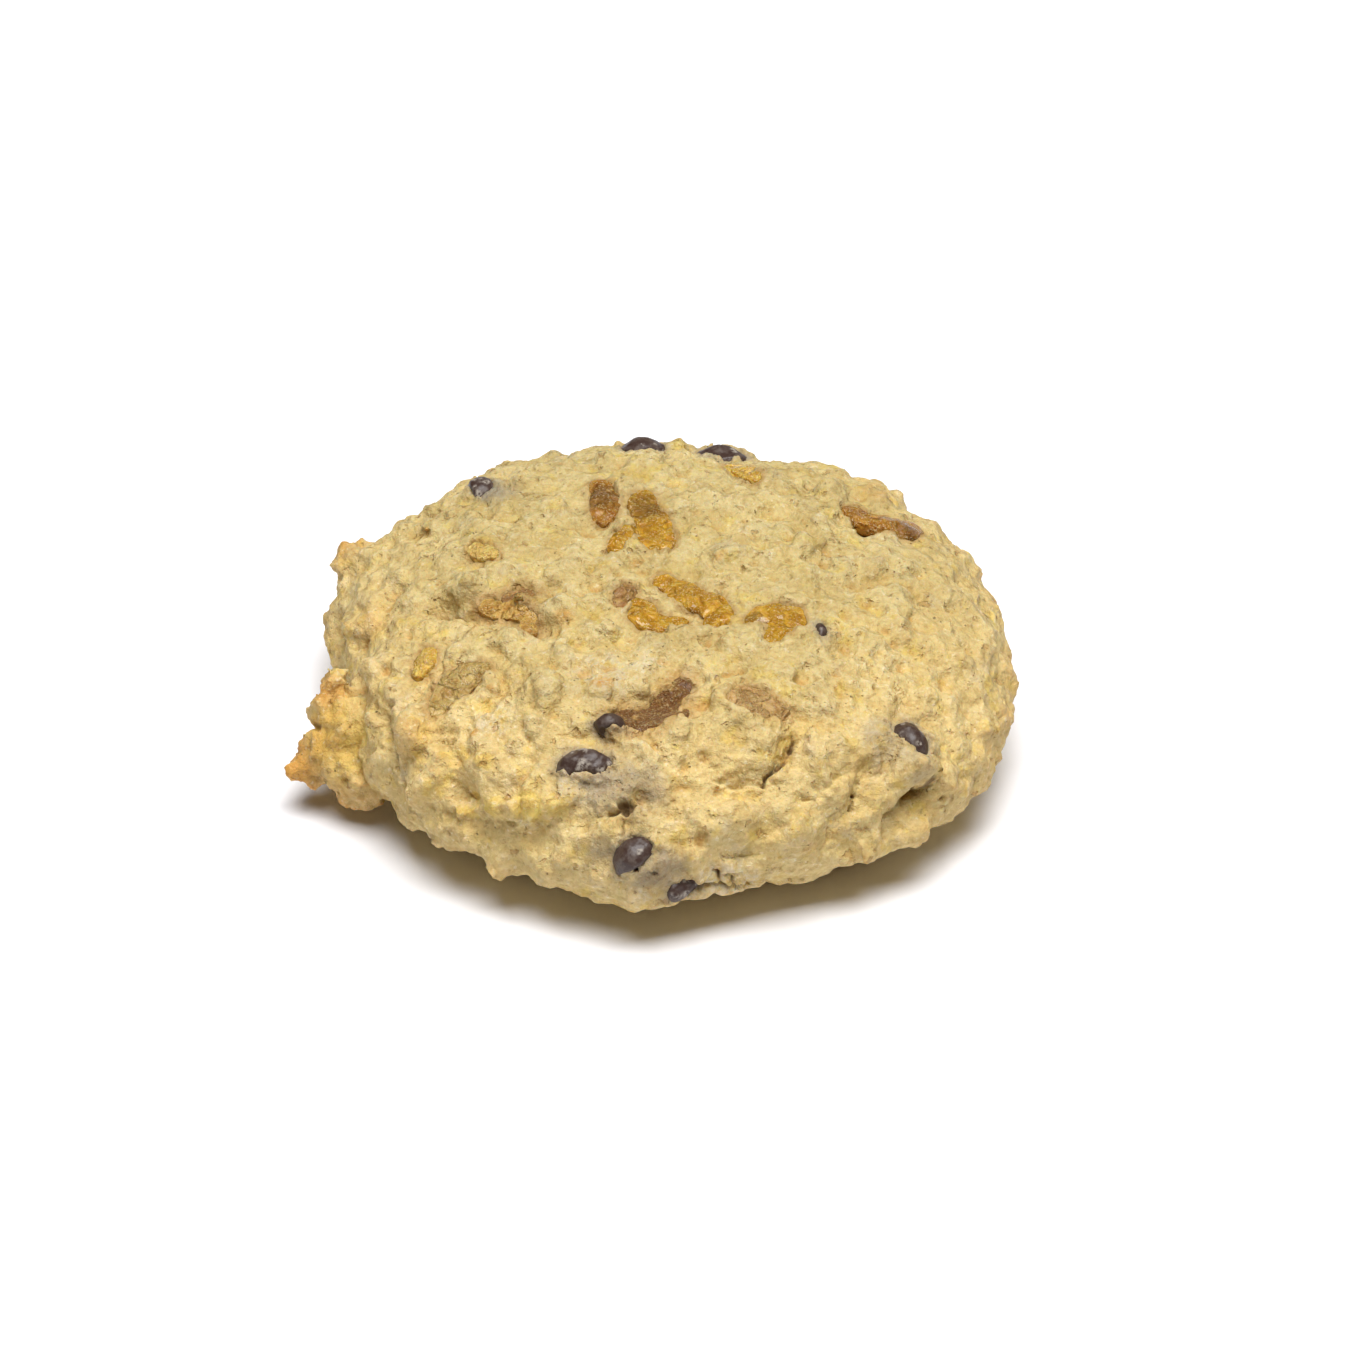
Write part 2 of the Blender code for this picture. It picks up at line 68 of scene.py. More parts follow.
# Cracks and folds of the skin: (half width, depth, points along it).
CRACKS = (
    (0.45, 1.9, ((15.9, -29, 22.9), (15.2, -30.1, 22.5), (14.8, -31.4, 21.9), (14.2, -32.3, 21.5),
        (13.2, -33.2, 21.2), (12.4, -34, 20.8), (12, -34.9, 20.3))),
    (0.6, 1, ((12, -34.9, 20.3), (10, -35, 20.7), (8.1, -35.3, 20.8), (6.5, -35.3, 21.2),
        (5.5, -34.7, 21.7))),
    (0.9, 0.6, ((12.7, -35.5, 19.6), (9.5, -36.8, 19.4), (6.3, -36.6, 20.3))),
    (0.45, 1.6, ((-7.5, -39.4, 19.2), (-6.2, -39.2, 19.6), (-5.1, -39, 19.8),
        (-4.2, -38.6, 20.2))),
    (0.45, 1.6, ((24.1, -32.5, 18.4), (23.9, -33.5, 17.3), (23.5, -34.9, 15.8))),
    (0.8, 0.7, ((26.4, -29.3, 19.9), (23.9, -31.1, 19.7), (21.3, -32.5, 19.5),
        (19.5, -34.5, 18.4))),
    (0.9, 0.6, ((32.1, -30.2, 15), (30.2, -32.1, 14.4), (28.4, -33.5, 13.5))),
    (0.35, 0.7, ((6, -41.5, 14.4), (7.1, -41.5, 13.2), (8.8, -41.3, 12.1), (10.9, -40.7, 12.2))),
    (0.4, 1.6, ((2.1, -42.9, 8.5), (3.9, -42.5, 8.7), (6, -41.7, 8), (8.3, -40.8, 7.6),
        (10.3, -39.9, 7.1))),
    (0.4, 1.7, ((5.6, -42.4, 11.2), (6.3, -42.1, 9.8), (6.6, -41.7, 8.2))),
    (0.3, 1.2, ((6.3, -42.1, 9.9), (7.6, -41.8, 10.1), (8.7, -41.4, 9.6))),
    (0.35, 1.2, ((7.4, -41.9, 10.4), (8.1, -41.4, 9), (8.4, -40.6, 7.3))),
    (1.5, 0.9, ((-36.9, -17, 18.4), (-36, -20.3, 18.2), (-34.9, -25.6, 16.2),
        (-33.9, -29.2, 12.7))),
    (0.5, 0.9, ((-23.7, -24.3, 23.1), (-23.1, -22.1, 23.9), (-22.2, -21.3, 24.3),
        (-21.3, -20.7, 24.6))),
    (1.5, 0.35, ((-28.6, -33.5, 12.5), (-25.4, -35, 13.7), (-22.7, -36, 14.8),
        (-18.5, -37.6, 16.2), (-13.6, -38.8, 17.9))),
    (0.3, 0.4, ((-24.9, -35.8, 11.8), (-21, -37.5, 13.8), (-16, -39.6, 15.2),
        (-11, -41.8, 15.3))),
    (0.3, 0.35, ((-26.1, -35, 12.6), (-21, -37.1, 14.6), (-15.3, -39.4, 16.1))),
    (0.4, 0.8, ((20.6, -36.4, 15.1), (20.4, -37.1, 13.8), (20.4, -37.5, 12.1))),
    (0.35, 1, ((-0.3, 5.5, 27), (0.6, 8.1, 27), (1.4, 11.1, 26.9))),
    (0.35, 1, ((21.1, 13.9, 25.7), (22, 13.1, 25.7), (22.7, 11.4, 25.7))),
    (0.35, 0.8, ((23.4, 18.2, 24.8), (22.6, 16.9, 25.2), (22.7, 14.7, 25.4))),
    (0.6, 0.8, ((-35.4, -20.7, 18.6), (-32.8, -18.8, 21.1), (-30.7, -15.8, 22.8),
        (-29, -14.5, 23.6), (-26.7, -14.4, 24.4), (-24.5, -15.9, 24.8))),
    (0.3, 0.6, ((35.2, -20.3, 19.8), (35.7, -22.3, 18.5))),
    (0.3, 0.5, ((41.8, -13.2, 15.9), (43, -13.1, 13.4))),
    (0.4, 0.8, ((-29.1, -26, 20.4), (-28.4, -26.5, 20.5), (-27.4, -26.4, 21))),
    (0.9, 1, ((-31.3, -1, 23.5), (-28.7, -3.4, 24.3), (-25.5, -4.2, 25.2))),
    (0.3, 0.6, ((25.2, -15.7, 24.8), (25.8, -17.2, 24.4), (27.1, -18.1, 23.9))),
    (0.5, 0.5, ((4.2, 8.1, 27), (4.9, 4.9, 27), (5.7, 2, 27), (6.7, -0.1, 27), (8.2, -0.3, 27))),
    (0.4, 0.7, ((-9.8, -28.8, 24.3), (-11.7, -29.6, 23.7), (-13.6, -28.7, 23.7))),
    (0.4, 1.4, ((-5.6, -39.6, 19.2), (-6.1, -40.6, 18.2), (-5.9, -41.7, 17.1),
        (-5.6, -42.3, 16.3))),
    (0.3, 0.6, ((16.3, -35.8, 18.2), (18.2, -35.3, 18))),
)  # fmt: skip

# Pores and pits: (x, y, z, radius, depth).
PORES = (
    (-15.6, -0.3, 26.7, 0.7, 1.2), (-15.2, -2.3, 26.7, 0.45, 0.8), (21.6, -15.4, 25.5, 0.6, 0.9),
    (22.7, -15.5, 25.3, 0.35, 0.5), (27, -12.8, 24.7, 0.5, 0.7), (27.7, -13.7, 24.5, 0.4, 0.7),
    (28.4, -11.6, 24.5, 0.35, 0.5), (26.2, -19.7, 23.8, 0.5, 0.7), (17.3, -23.4, 24.6, 0.5, 0.6),
    (21.4, -20.5, 24.7, 0.4, 0.5), (17.8, -25.6, 23.9, 0.4, 0.6), (40.7, -20.7, 9.6, 0.4, 0.6),
    (35.1, -28.7, 12.3, 0.5, 0.6), (33.1, -30.8, 11.2, 0.5, 0.6), (-34.8, 9.6, 23, 0.4, 0.6),
    (-37.7, 2.5, 20.4, 0.4, 0.5), (-25.9, -33.1, 16.5, 2.2, 1), (-25.3, -33, 17.1, 1.5, 1.3),
    (-5.5, -39, 19.8, 1, 2.2), (-4.6, -38.8, 20, 0.8, 1.8), (31.6, -30.6, 15, 1.1, 2.8),
    (32.3, -30.1, 15.1, 1.5, 2.2), (33, -29.3, 15.4, 1.1, 1.6), (-25.8, 8.9, 25.6, 0.6, 0.9),
    (-24.7, 5.1, 25.7, 0.6, 0.9), (6.3, -35, 21.4, 0.6, 0.7), (7.4, -35.4, 20.9, 0.5, 0.7),
    (9, -34.8, 21, 0.5, 0.7), (-7, 3.1, 27, 0.35, 0.5), (-14.3, 17.1, 26.1, 0.4, 0.6),
    (-12.9, 17.6, 26.2, 0.6, 0.7), (-11.6, 3.6, 26.9, 0.6, 0.6), (-10.5, 2.6, 26.9, 0.7, 0.9),
    (-28, -33.6, 13.3, 1.2, 1), (-28.4, -33.8, 11, 0.8, 0.6), (31.3, 2.7, 24.1, 0.35, 0.4),
    (37.8, 6.7, 21, 0.6, 0.7), (32, -2.1, 23.9, 0.4, 0.6), (31.5, -4.7, 24, 0.4, 0.7),
    (27.2, -5.4, 25.2, 0.4, 0.5), (10.1, -4, 26.9, 0.5, 0.6), (15.2, 3.5, 26.7, 0.4, 0.5),
    (22.1, 1.3, 26.1, 0.5, 0.6), (20.9, -35.8, 16, 0.4, 0.5), (21.9, -35.4, 16.1, 0.4, 0.5),
    (-10.7, -12.2, 26.7, 0.5, 0.5), (-35.6, -18.3, 19.3, 1.1, 1.4), (-29.5, -1, 24.1, 0.6, 1),
    (-31.7, 0.4, 23.4, 0.4, 0.6), (2.2, 0.9, 27, 0.7, 0.9), (19.4, -10.7, 26.2, 0.5, 0.8),
    (-19.3, -21.8, 24.7, 0.5, 0.6), (-7.8, -35, 22.2, 0.5, 0.6), (-1.7, -43.7, 12.7, 0.5, 0.6),
)  # fmt: skip

# Lumps of dough: (x, y, z, radius, height).
LUMPS = (
    (-32.6, -23.9, 19.4, 2.7, 1.5), (-36.9, -10.1, 19.5, 2.3, 0.91),
    (-19.2, -29.9, 21.9, 1.4, 0.8), (-21.9, -35.7, 16.1, 1.5, 1), (-19.7, -36.2, 17.1, 1.4, 1),
    (-17.4, -36.9, 17.7, 1.5, 1), (-15, -37.7, 18.3, 1.3, 0.9), (-26.5, -33.9, 14.9, 1.3, 0.8),
    (-1.1, -36.3, 21.6, 2.8, 0.56), (4.4, -40.2, 17.3, 1.1, 0.8), (17.3, -32.9, 20.4, 3.6, 0.63),
    (15.1, -31.3, 21.9, 2.6, 0.35), (32.7, -28.5, 16.6, 1.7, 1.3), (29.6, -29.6, 18.1, 2.6, 0.56),
    (1.3, 37.1, 21.5, 2, 0.8), (26.8, 26.1, 22.1, 2.4, 0.7), (-15.1, 5.6, 26.7, 1.9, 0.6),
    (-12.6, 7, 26.8, 1.5, 0.6), (-29.5, 0.3, 24.2, 2.2, 0.56), (-25.7, 0, 25.3, 2.6, 0.56),
    (-19.6, -5.8, 26.2, 1.3, 0.8), (-13.9, -6.2, 26.7, 3.4, 0.9), (-9.5, -18.4, 26.2, 0.9, 0.8),
    (-24.1, -6.2, 25.5, 1.6, 0.6), (-28.7, -5.1, 24.3, 2.2, 0.49), (-34.1, 2.1, 22.5, 3, 0.49),
    (-35.1, -6.8, 21.1, 2, 0.56), (-40.2, 4.9, 18.8, 2.4, 0.49), (-41.4, 0.7, 15.5, 2.2, 0.42),
    (-31.9, -6.1, 23, 1.8, 0.6), (-25.3, -12.1, 25, 2, 0.6), (-18.9, -13.5, 26, 2.5, 0.7),
    (-21.3, -34.7, 17.7, 2.6, 0.63), (-24.8, -31.2, 19.1, 2.8, 0.56),
    (-28.7, -29.4, 18.4, 2.2, 0.49), (-31.2, -29.6, 16.2, 2, 0.49),
    (-16.6, -35.6, 19.3, 2.4, 0.49), (-13.5, -37.5, 19.1, 2, 0.42), (-20.3, -32.5, 20, 2.2, 0.42),
    (-23.6, -28.3, 21.4, 2, 0.42), (-27.7, -23.9, 22, 1.6, 0.6), (-18.7, -26, 23.6, 2.6, 0.42),
    (-15.6, -22.7, 25, 2.6, 0.7), (-9.8, -24.9, 25.2, 2.2, 0.6), (-4.8, -32.1, 23.6, 3, 0.35),
    (2.6, -31.2, 23.7, 4, 0.42), (8.8, -31.9, 22.7, 3.6, 0.35), (3.8, -38.1, 19.6, 2.8, 0.42),
    (9.5, -38.1, 18.1, 2.6, 0.42), (15, -36.3, 18.2, 2.4, 0.42), (11.3, -39.5, 15.3, 2.2, 0.42),
    (16.4, -38.1, 14.9, 2.2, 0.49), (6.3, -42, 12.4, 2, 0.42), (9.5, -41.2, 10.9, 0.9, 0.6),
    (23.8, -35.9, 13.2, 2.4, 0.49), (20.1, -35.2, 17.3, 2, 0.42), (26.4, -32.6, 16.9, 2, 0.49),
    (28.9, -32.4, 15.2, 2, 0.42), (26.4, -35, 11.7, 1.6, 0.6), (22.6, -28.6, 21.6, 3.4, 0.35),
    (18.9, -23.7, 24.3, 4, 0.28), (26.5, -22.3, 23.1, 3.5, 0.28), (32.9, -19.8, 21.3, 2.6, 0.35),
    (36.7, -22.9, 17.3, 2.4, 0.42), (39.6, -13.8, 18.4, 2.2, 0.42), (40, -21.5, 13, 2, 0.42),
    (35.4, -27.4, 14.5, 1.8, 0.5), (-9.7, -42, 15.6, 2.4, 0.49), (-13.6, -41.7, 13, 1.8, 0.6),
    (-1.1, -42.6, 15.3, 2.2, 0.42), (2.6, -42.6, 13.7, 1.8, 0.5), (-8.5, -38.4, 19.9, 2.4, 0.42),
    (-2.3, -40.1, 18.8, 2.4, 0.35), (-21.2, -36.7, 7, 1.6, 0.3), (-3.5, -42.5, 6.4, 2.4, 0.14),
    (31, -30.7, 6.7, 1.4, 0.7), (-8.5, -43.7, 11.4, 1.6, 0.6), (3.9, -42.7, 9.3, 3.6, 0.9),
    (7.5, -41.6, 9.1, 3.6, 1.1), (11.4, -40.5, 9.1, 3.4, 0.9), (4.5, -42.3, 6.8, 2.8, 1.1),
    (8, -41.4, 6.4, 3, 1.5), (11, -40, 6.6, 2.6, 0.9), (-8.6, -23.4, 25.6, 1.8, 0.7),
    (-2.4, -14.5, 26.8, 3.2, 0.6), (3.9, -18.2, 26.4, 3.6, 0.6), (9, -14.2, 26.6, 3, 0.5),
    (-13.7, -16.8, 26.1, 2.2, 0.6), (11.3, -30.3, 23, 4.2, 0.6), (-3.6, -34.2, 22.8, 3.4, 0.5),
    (-38.6, -22, 8.8, 2.6, 0.4), (-9.5, -11.5, 26.7, 2.4, 0.6), (-19.5, 2.5, 26.3, 3, 0.6),
    (-6, 1.5, 27, 2.6, 0.4), (9.5, 8.5, 26.9, 2.4, 0.5),
)  # fmt: skip

# Blocks of the loose crumb on the left: (x, y, z, side, turn in degrees).
CRUMB_BLOCKS = (
    (-45, -14, 8.4, 4.4, 20), (-43.6, -10.6, 12.6, 4.2, 40), (-43, -8.6, 15.8, 3.2, 10),
    (-47, -13.6, 6.2, 2.8, 65), (-40.4, -13.6, 11.6, 5.6, 15), (-40.2, -17.4, 8, 4.2, 50),
)  # fmt: skip

# The middle of that crumb.
CRUMB_MIDDLE = (-44, -13, 10)

# Flakes that stand out of the rim: (x, y, z, length, heading in degrees from +X, tilt).
RIM_FLAKES = (
    (41.5, 14.5, 17, 1.6, 22, 28), (44.2, 3.5, 12, 1.3, 5, 15), (45, -5.5, 12, 1.4, -8, 12),
    (-42, 19.5, 16, 1.1, 158, 10), (26, 33.5, 19, 1.6, 50, 30), (31, 30.5, 18, 1.4, 45, 24),
)  # fmt: skip

# Soft hollows of the skin: depth, and the beads along them as (x, y, z, radius).
HOLLOWS = (
    (0.7, ((25.9, 17.2, 24.6, 1.5), (28.7, 16.2, 24, 2.2), (31.3, 16.4, 23.1, 1.7))),
    (1.2, ((-30.5, -1.4, 23.7, 2.2), (-26.2, -4.4, 25.2, 2.6), (-21.5, -6.8, 26, 3.4),
        (-17.2, -9.4, 26.4, 2.6))),
    (0.5, ((-21, -2.4, 26.1, 2), (-18.4, -2, 26.4, 2))),
    (1, ((-4.6, -27.4, 25.1, 1.8), (-1.8, -26, 25.4, 2.8), (0.4, -23.4, 25.9, 2.4),
        (1.8, -22, 26, 1.6))),
    (0.5, ((-29.2, -20.4, 22.6, 2.2), (-27, -17.8, 23.8, 3), (-24.4, -16.6, 24.8, 2.2))),
    (0.5, ((8.4, -24.6, 25, 2.2), (13.6, -25.6, 24.3, 2.4))),
    (1.9, ((-43.7, 6.7, 13.3, 4), (-43.2, 3, 12.2, 4), (-43, 1, 8.8, 4))),
    (0.9, ((-6.5, -43, 5, 2.6), (-2.5, -43, 5, 2.6))),
    (0.8, ((-22.6, -16.4, 25.1, 1.4), (-20.6, -20.6, 24.6, 1.4), (-23, -23, 23.6, 1.2))),
)  # fmt: skip

# Toasted places: (x, y, z, radius, strength from 0 to 1).
TOASTED = (
    (-42.8, 19.2, 16.5, 4.5, 0.6), (-32.2, -24.3, 19.5, 3.8, 0.42), (-47.8, -14.5, 6.5, 5, 1),
    (-43.5, -10, 14.5, 3.2, 0.8), (-43, -13, 10, 7, 0.55), (-40, -17, 5, 6, 0.55),
    (-37.5, -16, 11, 3, 0.7), (-39.7, 1.4, 18.2, 3.5, 0.35), (-37.7, -1, 19.5, 2.6, 0.5),
    (42.5, 12, 15.5, 4, 0.4), (45, -3, 12, 5, 0.45), (44, -12, 12, 4, 0.4),
    (40, -19, 14, 2.6, 0.35), (28.8, 31.5, 19, 4.5, 0.35), (-21.2, -37.5, 6.5, 3.5, 0.3),
    (17.3, -38.7, 12, 2, 0.3), (26.5, 24.5, 22.3, 3.6, 0.4), (-15.1, 5.4, 26.7, 2.4, 0.3),
    (6.2, -2, 27, 2, 0.35), (-8.4, -22, 25.8, 1.5, 0.9), (-25, -26.4, 22, 1.3, 0.9),
    (-22.7, -20.6, 24.3, 0.9, 0.8), (-25.2, -8.2, 25.2, 1.6, 0.7), (-13.5, -9, 26.5, 1.8, 0.6),
    (-5.5, -24.5, 25.5, 1.6, 0.6), (5.8, 4, 27, 1.4, 0.6), (-35, 28, 16, 5, 0.3),
    (36, 24, 17, 4, 0.3), (-9.5, -18.4, 26.2, 1.4, 0.35),
)  # fmt: skip

# Butter-yellow places: (x, y, z, radius, strength).
BUTTERY = (
    (-21.9, -35.7, 16.1, 2.2, 0.9), (-17.4, -36.9, 17.7, 2.6, 1), (-13.6, -37.8, 18.4, 2.4, 1),
    (-31.5, -25, 19, 2.6, 0.7), (-26.5, -34, 15, 1.6, 0.6), (-24.5, 7.5, 25.7, 2.6, 0.9),
    (1.3, 37.1, 21.5, 2.2, 0.8), (-9.5, -18.4, 26.2, 1.2, 0.6), (-29, -8.5, 24, 2.6, 0.5),
    (-41, -14, 10.5, 6.5, 1), (-38, -3, 19.5, 3, 0.6), (7.5, -34, 21.5, 3.2, 0.4),
    (32.5, -28.5, 16.8, 2.2, 0.6), (16, 2, 26.7, 3, 0.5), (18, 30, 23, 4, 0.4),
    (-21, 14, 25.9, 4, 0.4),
)  # fmt: skip

# Floury places: (x, y, z, radius, strength).
FLOURED = (
    (-8.6, -20.5, 26, 5.5, 0.8), (-2, -17.5, 26.6, 4, 0.6), (7, -42, 8.8, 4.4, 1.3),
    (10.5, -40.6, 7.8, 2.8, 1), (-11.6, -36.2, 20.6, 4, 0.7), (27, -28, 20.5, 3.2, 0.7),
    (-22.6, -25.6, 23, 4.5, 0.6), (-24.5, 23.5, 23.6, 3.4, 0.6), (-20.6, 1.5, 26.2, 3, 0.4),
    (-2.5, -44, 10, 3.5, 0.6), (-6, 15, 26.9, 1.4, 0.8), (0, 22, 26.3, 4, 0.4),
    (14, -2, 26.8, 4, 0.3),
)  # fmt: skip

# Dark places of the peel: (x, y, z, radius, strength).
DARK_PEEL = (
    (-9.2, 18.6, 26.4, 4.2, 1), (-3, 16.6, 26.7, 4.2, 1), (-3.6, 12, 26.9, 1.6, 0.8),
    (31.4, 15.6, 22.8, 2.6, 0.9), (24.4, 17.2, 24.7, 1.8, 0.8), (-17.6, -9.6, 26.3, 2.2, 0.8),
    (-1.2, -25, 25.5, 1.8, 0.9), (10.6, -9.4, 26.7, 1.8, 0.7), (-4.9, -7.6, 26.9, 1.2, 0.6),
)  # fmt: skip

# Dough greyed by melted chocolate: (x, y, z, radius, strength).
GREYED = (
    (-8, -35.5, 21.4, 6.5, 0.75), (-3.5, -37.5, 20.6, 5.5, 0.7), (-1, -43.5, 12.4, 4.5, 0.9),
    (-8.5, -42, 14, 3.5, 0.7), (27.5, -26.8, 21, 4.5, 0.75), (31, -28.3, 18, 3.5, 0.8),
    (-22.6, 22, 24.3, 4, 0.8), (-12, -30, 24.2, 3.5, 0.4), (2.4, -43.3, 8.6, 3, 0.6),
    (19.6, -12.5, 26, 2.6, 0.5), (0, 30, 25, 6, 0.15), (2.5, -24, 25.6, 3, 0.35),
)  # fmt: skip

# Strips of candied peel: tint, how far the strip stands out of the skin, and the beads along
# its middle as (x, y, z, radius).
STRIPS = {
    "orange_peel_1": ("brown", 0.15, (
        (-9, 21.7, 26.1, 1.4), (-8.6, 19.3, 26.4, 1.6), (-8.5, 16.7, 26.6, 1.6),
        (-8.6, 14.8, 26.7, 1.4))),
    "orange_peel_2": ("amber", 0.2, (
        (-3.3, 18.4, 26.5, 1.6), (-3.4, 15.2, 26.8, 2), (-2.2, 12.4, 26.9, 2),
        (-1.5, 9.6, 26.9, 2.1), (-2.5, 8.2, 27, 1.5))),
    "orange_peel_3": ("amber", 0.1, (
        (-5.3, 10.7, 26.9, 0.8), (-6.1, 9, 26.9, 1), (-7, 7.2, 26.9, 0.8))),
    "orange_peel_4": ("brown", 0.5, (
        (24.2, 19.2, 24.8, 0.9), (25.9, 18, 24.6, 1.5), (27.7, 17.3, 24.3, 1.8),
        (29.7, 17.3, 23.7, 1.9), (31.3, 17.1, 23.1, 1.7), (32.9, 18.6, 22.4, 1.3))),
    "orange_peel_5": ("amber", 0.15, (
        (-3.3, -5.3, 27, 1.3), (-3.2, -7.3, 26.9, 1.7), (-1.9, -8.9, 26.9, 1.5),
        (-0.2, -8.8, 26.9, 1.1), (1.3, -8.4, 26.9, 0.9))),
    "orange_peel_6": ("amber", 0.15, (
        (-1, -0.2, 27, 0.9), (0.9, -1.8, 27, 1.6), (2.4, -3.6, 27, 1.6), (4.2, -4.8, 27, 1.5),
        (5.8, -6, 27, 1.7), (6.3, -7.6, 26.9, 1.5), (5, -8.8, 26.9, 0.9))),
    "orange_peel_7": ("dusky", 0, (
        (-5, -2.2, 27, 0.9), (-5.7, -4, 27, 1.1), (-6.4, -5.8, 27, 0.8))),
    "orange_peel_8": ("amber", 0.1, (
        (10.4, -9.2, 26.8, 0.8), (12, -8, 26.8, 1.4), (13.9, -7.5, 26.7, 1.5),
        (15.6, -7.3, 26.6, 1.5), (16.3, -8.8, 26.5, 1.2), (14.2, -10.4, 26.6, 1.2),
        (13.2, -12.6, 26.5, 1.1))),
    "orange_peel_9": ("dusky", -0.2, (
        (-20.7, -2.6, 26.1, 1), (-19.4, -1.9, 26.3, 1.2), (-18.2, -2.2, 26.4, 0.8))),
    "orange_peel_10": ("tawny", -0.3, (
        (-23.3, -3.5, 25.7, 1), (-21.9, -4.5, 25.9, 1.4), (-20.4, -5.8, 26.1, 1.5),
        (-18.8, -6.8, 26.2, 1.1), (-17.2, -7.7, 26.4, 0.9))),
    "orange_peel_11": ("pale", 0, (
        (-29.4, -21, 22.3, 1.1), (-28.6, -19.4, 23.1, 1.7), (-27.3, -17.9, 23.7, 2.1),
        (-25.6, -17, 24.4, 1.7), (-24.4, -16.8, 24.8, 1))),
    "orange_peel_12": ("umber", -0.5, (
        (-5.4, -27, 25, 1.8), (-3.6, -26.3, 25.1, 2.7), (-2, -25, 25.4, 3),
        (-0.5, -23.6, 25.7, 2.2), (1, -22.2, 25.9, 1.2), (2.1, -21, 26, 0.8))),
    "orange_peel_13": ("pink", 0, (
        (8.5, -24.8, 25, 1.2), (9.8, -23.6, 25.3, 1.4), (11.2, -24.2, 25, 1.9),
        (10.2, -26, 24.6, 1.4), (12.7, -25.4, 24.5, 1.5), (14, -25.9, 24.3, 1.1))),
    "orange_peel_14": ("yellow", 0.2, (
        (8.8, 29.5, 24.9, 1.1), (9.8, 27.7, 25.3, 1.2), (10.4, 26, 25.6, 0.9))),
    "orange_peel_15": ("yellow", 0.3, (
        (-32, -14.4, 22.5, 0.8), (-31.5, -13.1, 22.8, 1.1), (-31, -11.8, 23.1, 0.9))),
    "orange_peel_16": ("straw", 0.1, (
        (-25.6, 8, 25.6, 0.8), (-24.5, 7, 25.8, 1.1), (-23.2, 6.4, 26, 0.8))),
}  # fmt: skip
STRIP_THICKNESS = 2.6

# The balls that a strip is made of, in millimetres: how far apart they are, and how much wider
# than its beads.
BALL_SPACING = 0.7
BALL_MARGIN = 0.45

# Tints of peel with a wet surface.
WET_PEEL = ("amber", "brown", "yellow")

# Where each chocolate drop lies bare, as beads (x, y, z, radius); dough covers the rest of it.
BARE_DROPS = {
    "chocolate_drop_3": (
        (-25.3, 25.6, 22.7, 1.2), (-24.5, 23.6, 23.4, 1.3), (-23.8, 22, 24, 0.9)),
    "chocolate_drop_4": (
        (28, -24.5, 21.8, 0.9), (29.6, -24.8, 21, 1.4), (31, -25.6, 20, 1.7),
        (31.8, -27.1, 18.6, 1.2)),
    "chocolate_drop_5": (
        (-13.7, -32.7, 22.1, 1), (-12.3, -33.2, 22.2, 1.4), (-10.7, -33.3, 22.5, 1.5),
        (-9.1, -33.7, 22.6, 1.2), (-7.6, -34.4, 22.4, 0.8)),
    "chocolate_drop_6": (
        (-8.9, -28.9, 24.4, 0.4), (-7.6, -28.5, 24.4, 0.8), (-6.3, -28.3, 24.3, 0.8)),
    "chocolate_drop_7": (
        (-6.8, -43.6, 13.4, 1.1), (-5.7, -43.3, 14.3, 1.4), (-4.6, -43, 15.1, 1.6),
        (-3.5, -42.6, 15.7, 1.3)),
    "chocolate_drop_8": (
        (1.2, -43.3, 8.8, 0.9), (3, -43.1, 9.5, 1.2), (4.8, -42.3, 8.7, 0.5)),
    "chocolate_drop_9": (
        (19.3, -9.6, 26.2, 0.15), (19.7, -11.6, 26.1, 0.3)),
}  # fmt: skip

# The drop that lies deepest under the skin, drops with deep dents, and floury drops.
DEEP_DROP = "chocolate_drop_6"
DENTED_DROPS = ("chocolate_drop_5", "chocolate_drop_8")
FLOURY_DROPS = ("chocolate_drop_3", "chocolate_drop_5", "chocolate_drop_8")

# How the skin is drawn in, in millimetres: rays start this far outside it, it ends up this far
# below a strip or a drop, and over a drop it moves no further than the last two.
RAYS_FROM = 4
BELOW_STRIP = 0.25
BELOW_DROP = 0.35
DRAWN_IN = 1.3
DRAWN_IN_DEEP = 2.6


# Sizes and colours


def length(name, description, default):
    return bpy.props.FloatProperty(
        name=name, description=description, default=default, unit="LENGTH", precision=5
    )


def colour(name, description, default):
    return bpy.props.FloatVectorProperty(
        name=name, description=description, default=default, size=3, subtype="COLOR", min=0, max=1
    )


def count(name, description, default):
    return bpy.props.IntProperty(name=name, description=description, default=default, min=0)


def share(name, description, default):
    return bpy.props.FloatProperty(
        name=name, description=description, default=default, min=0, max=1, subtype="FACTOR"
    )


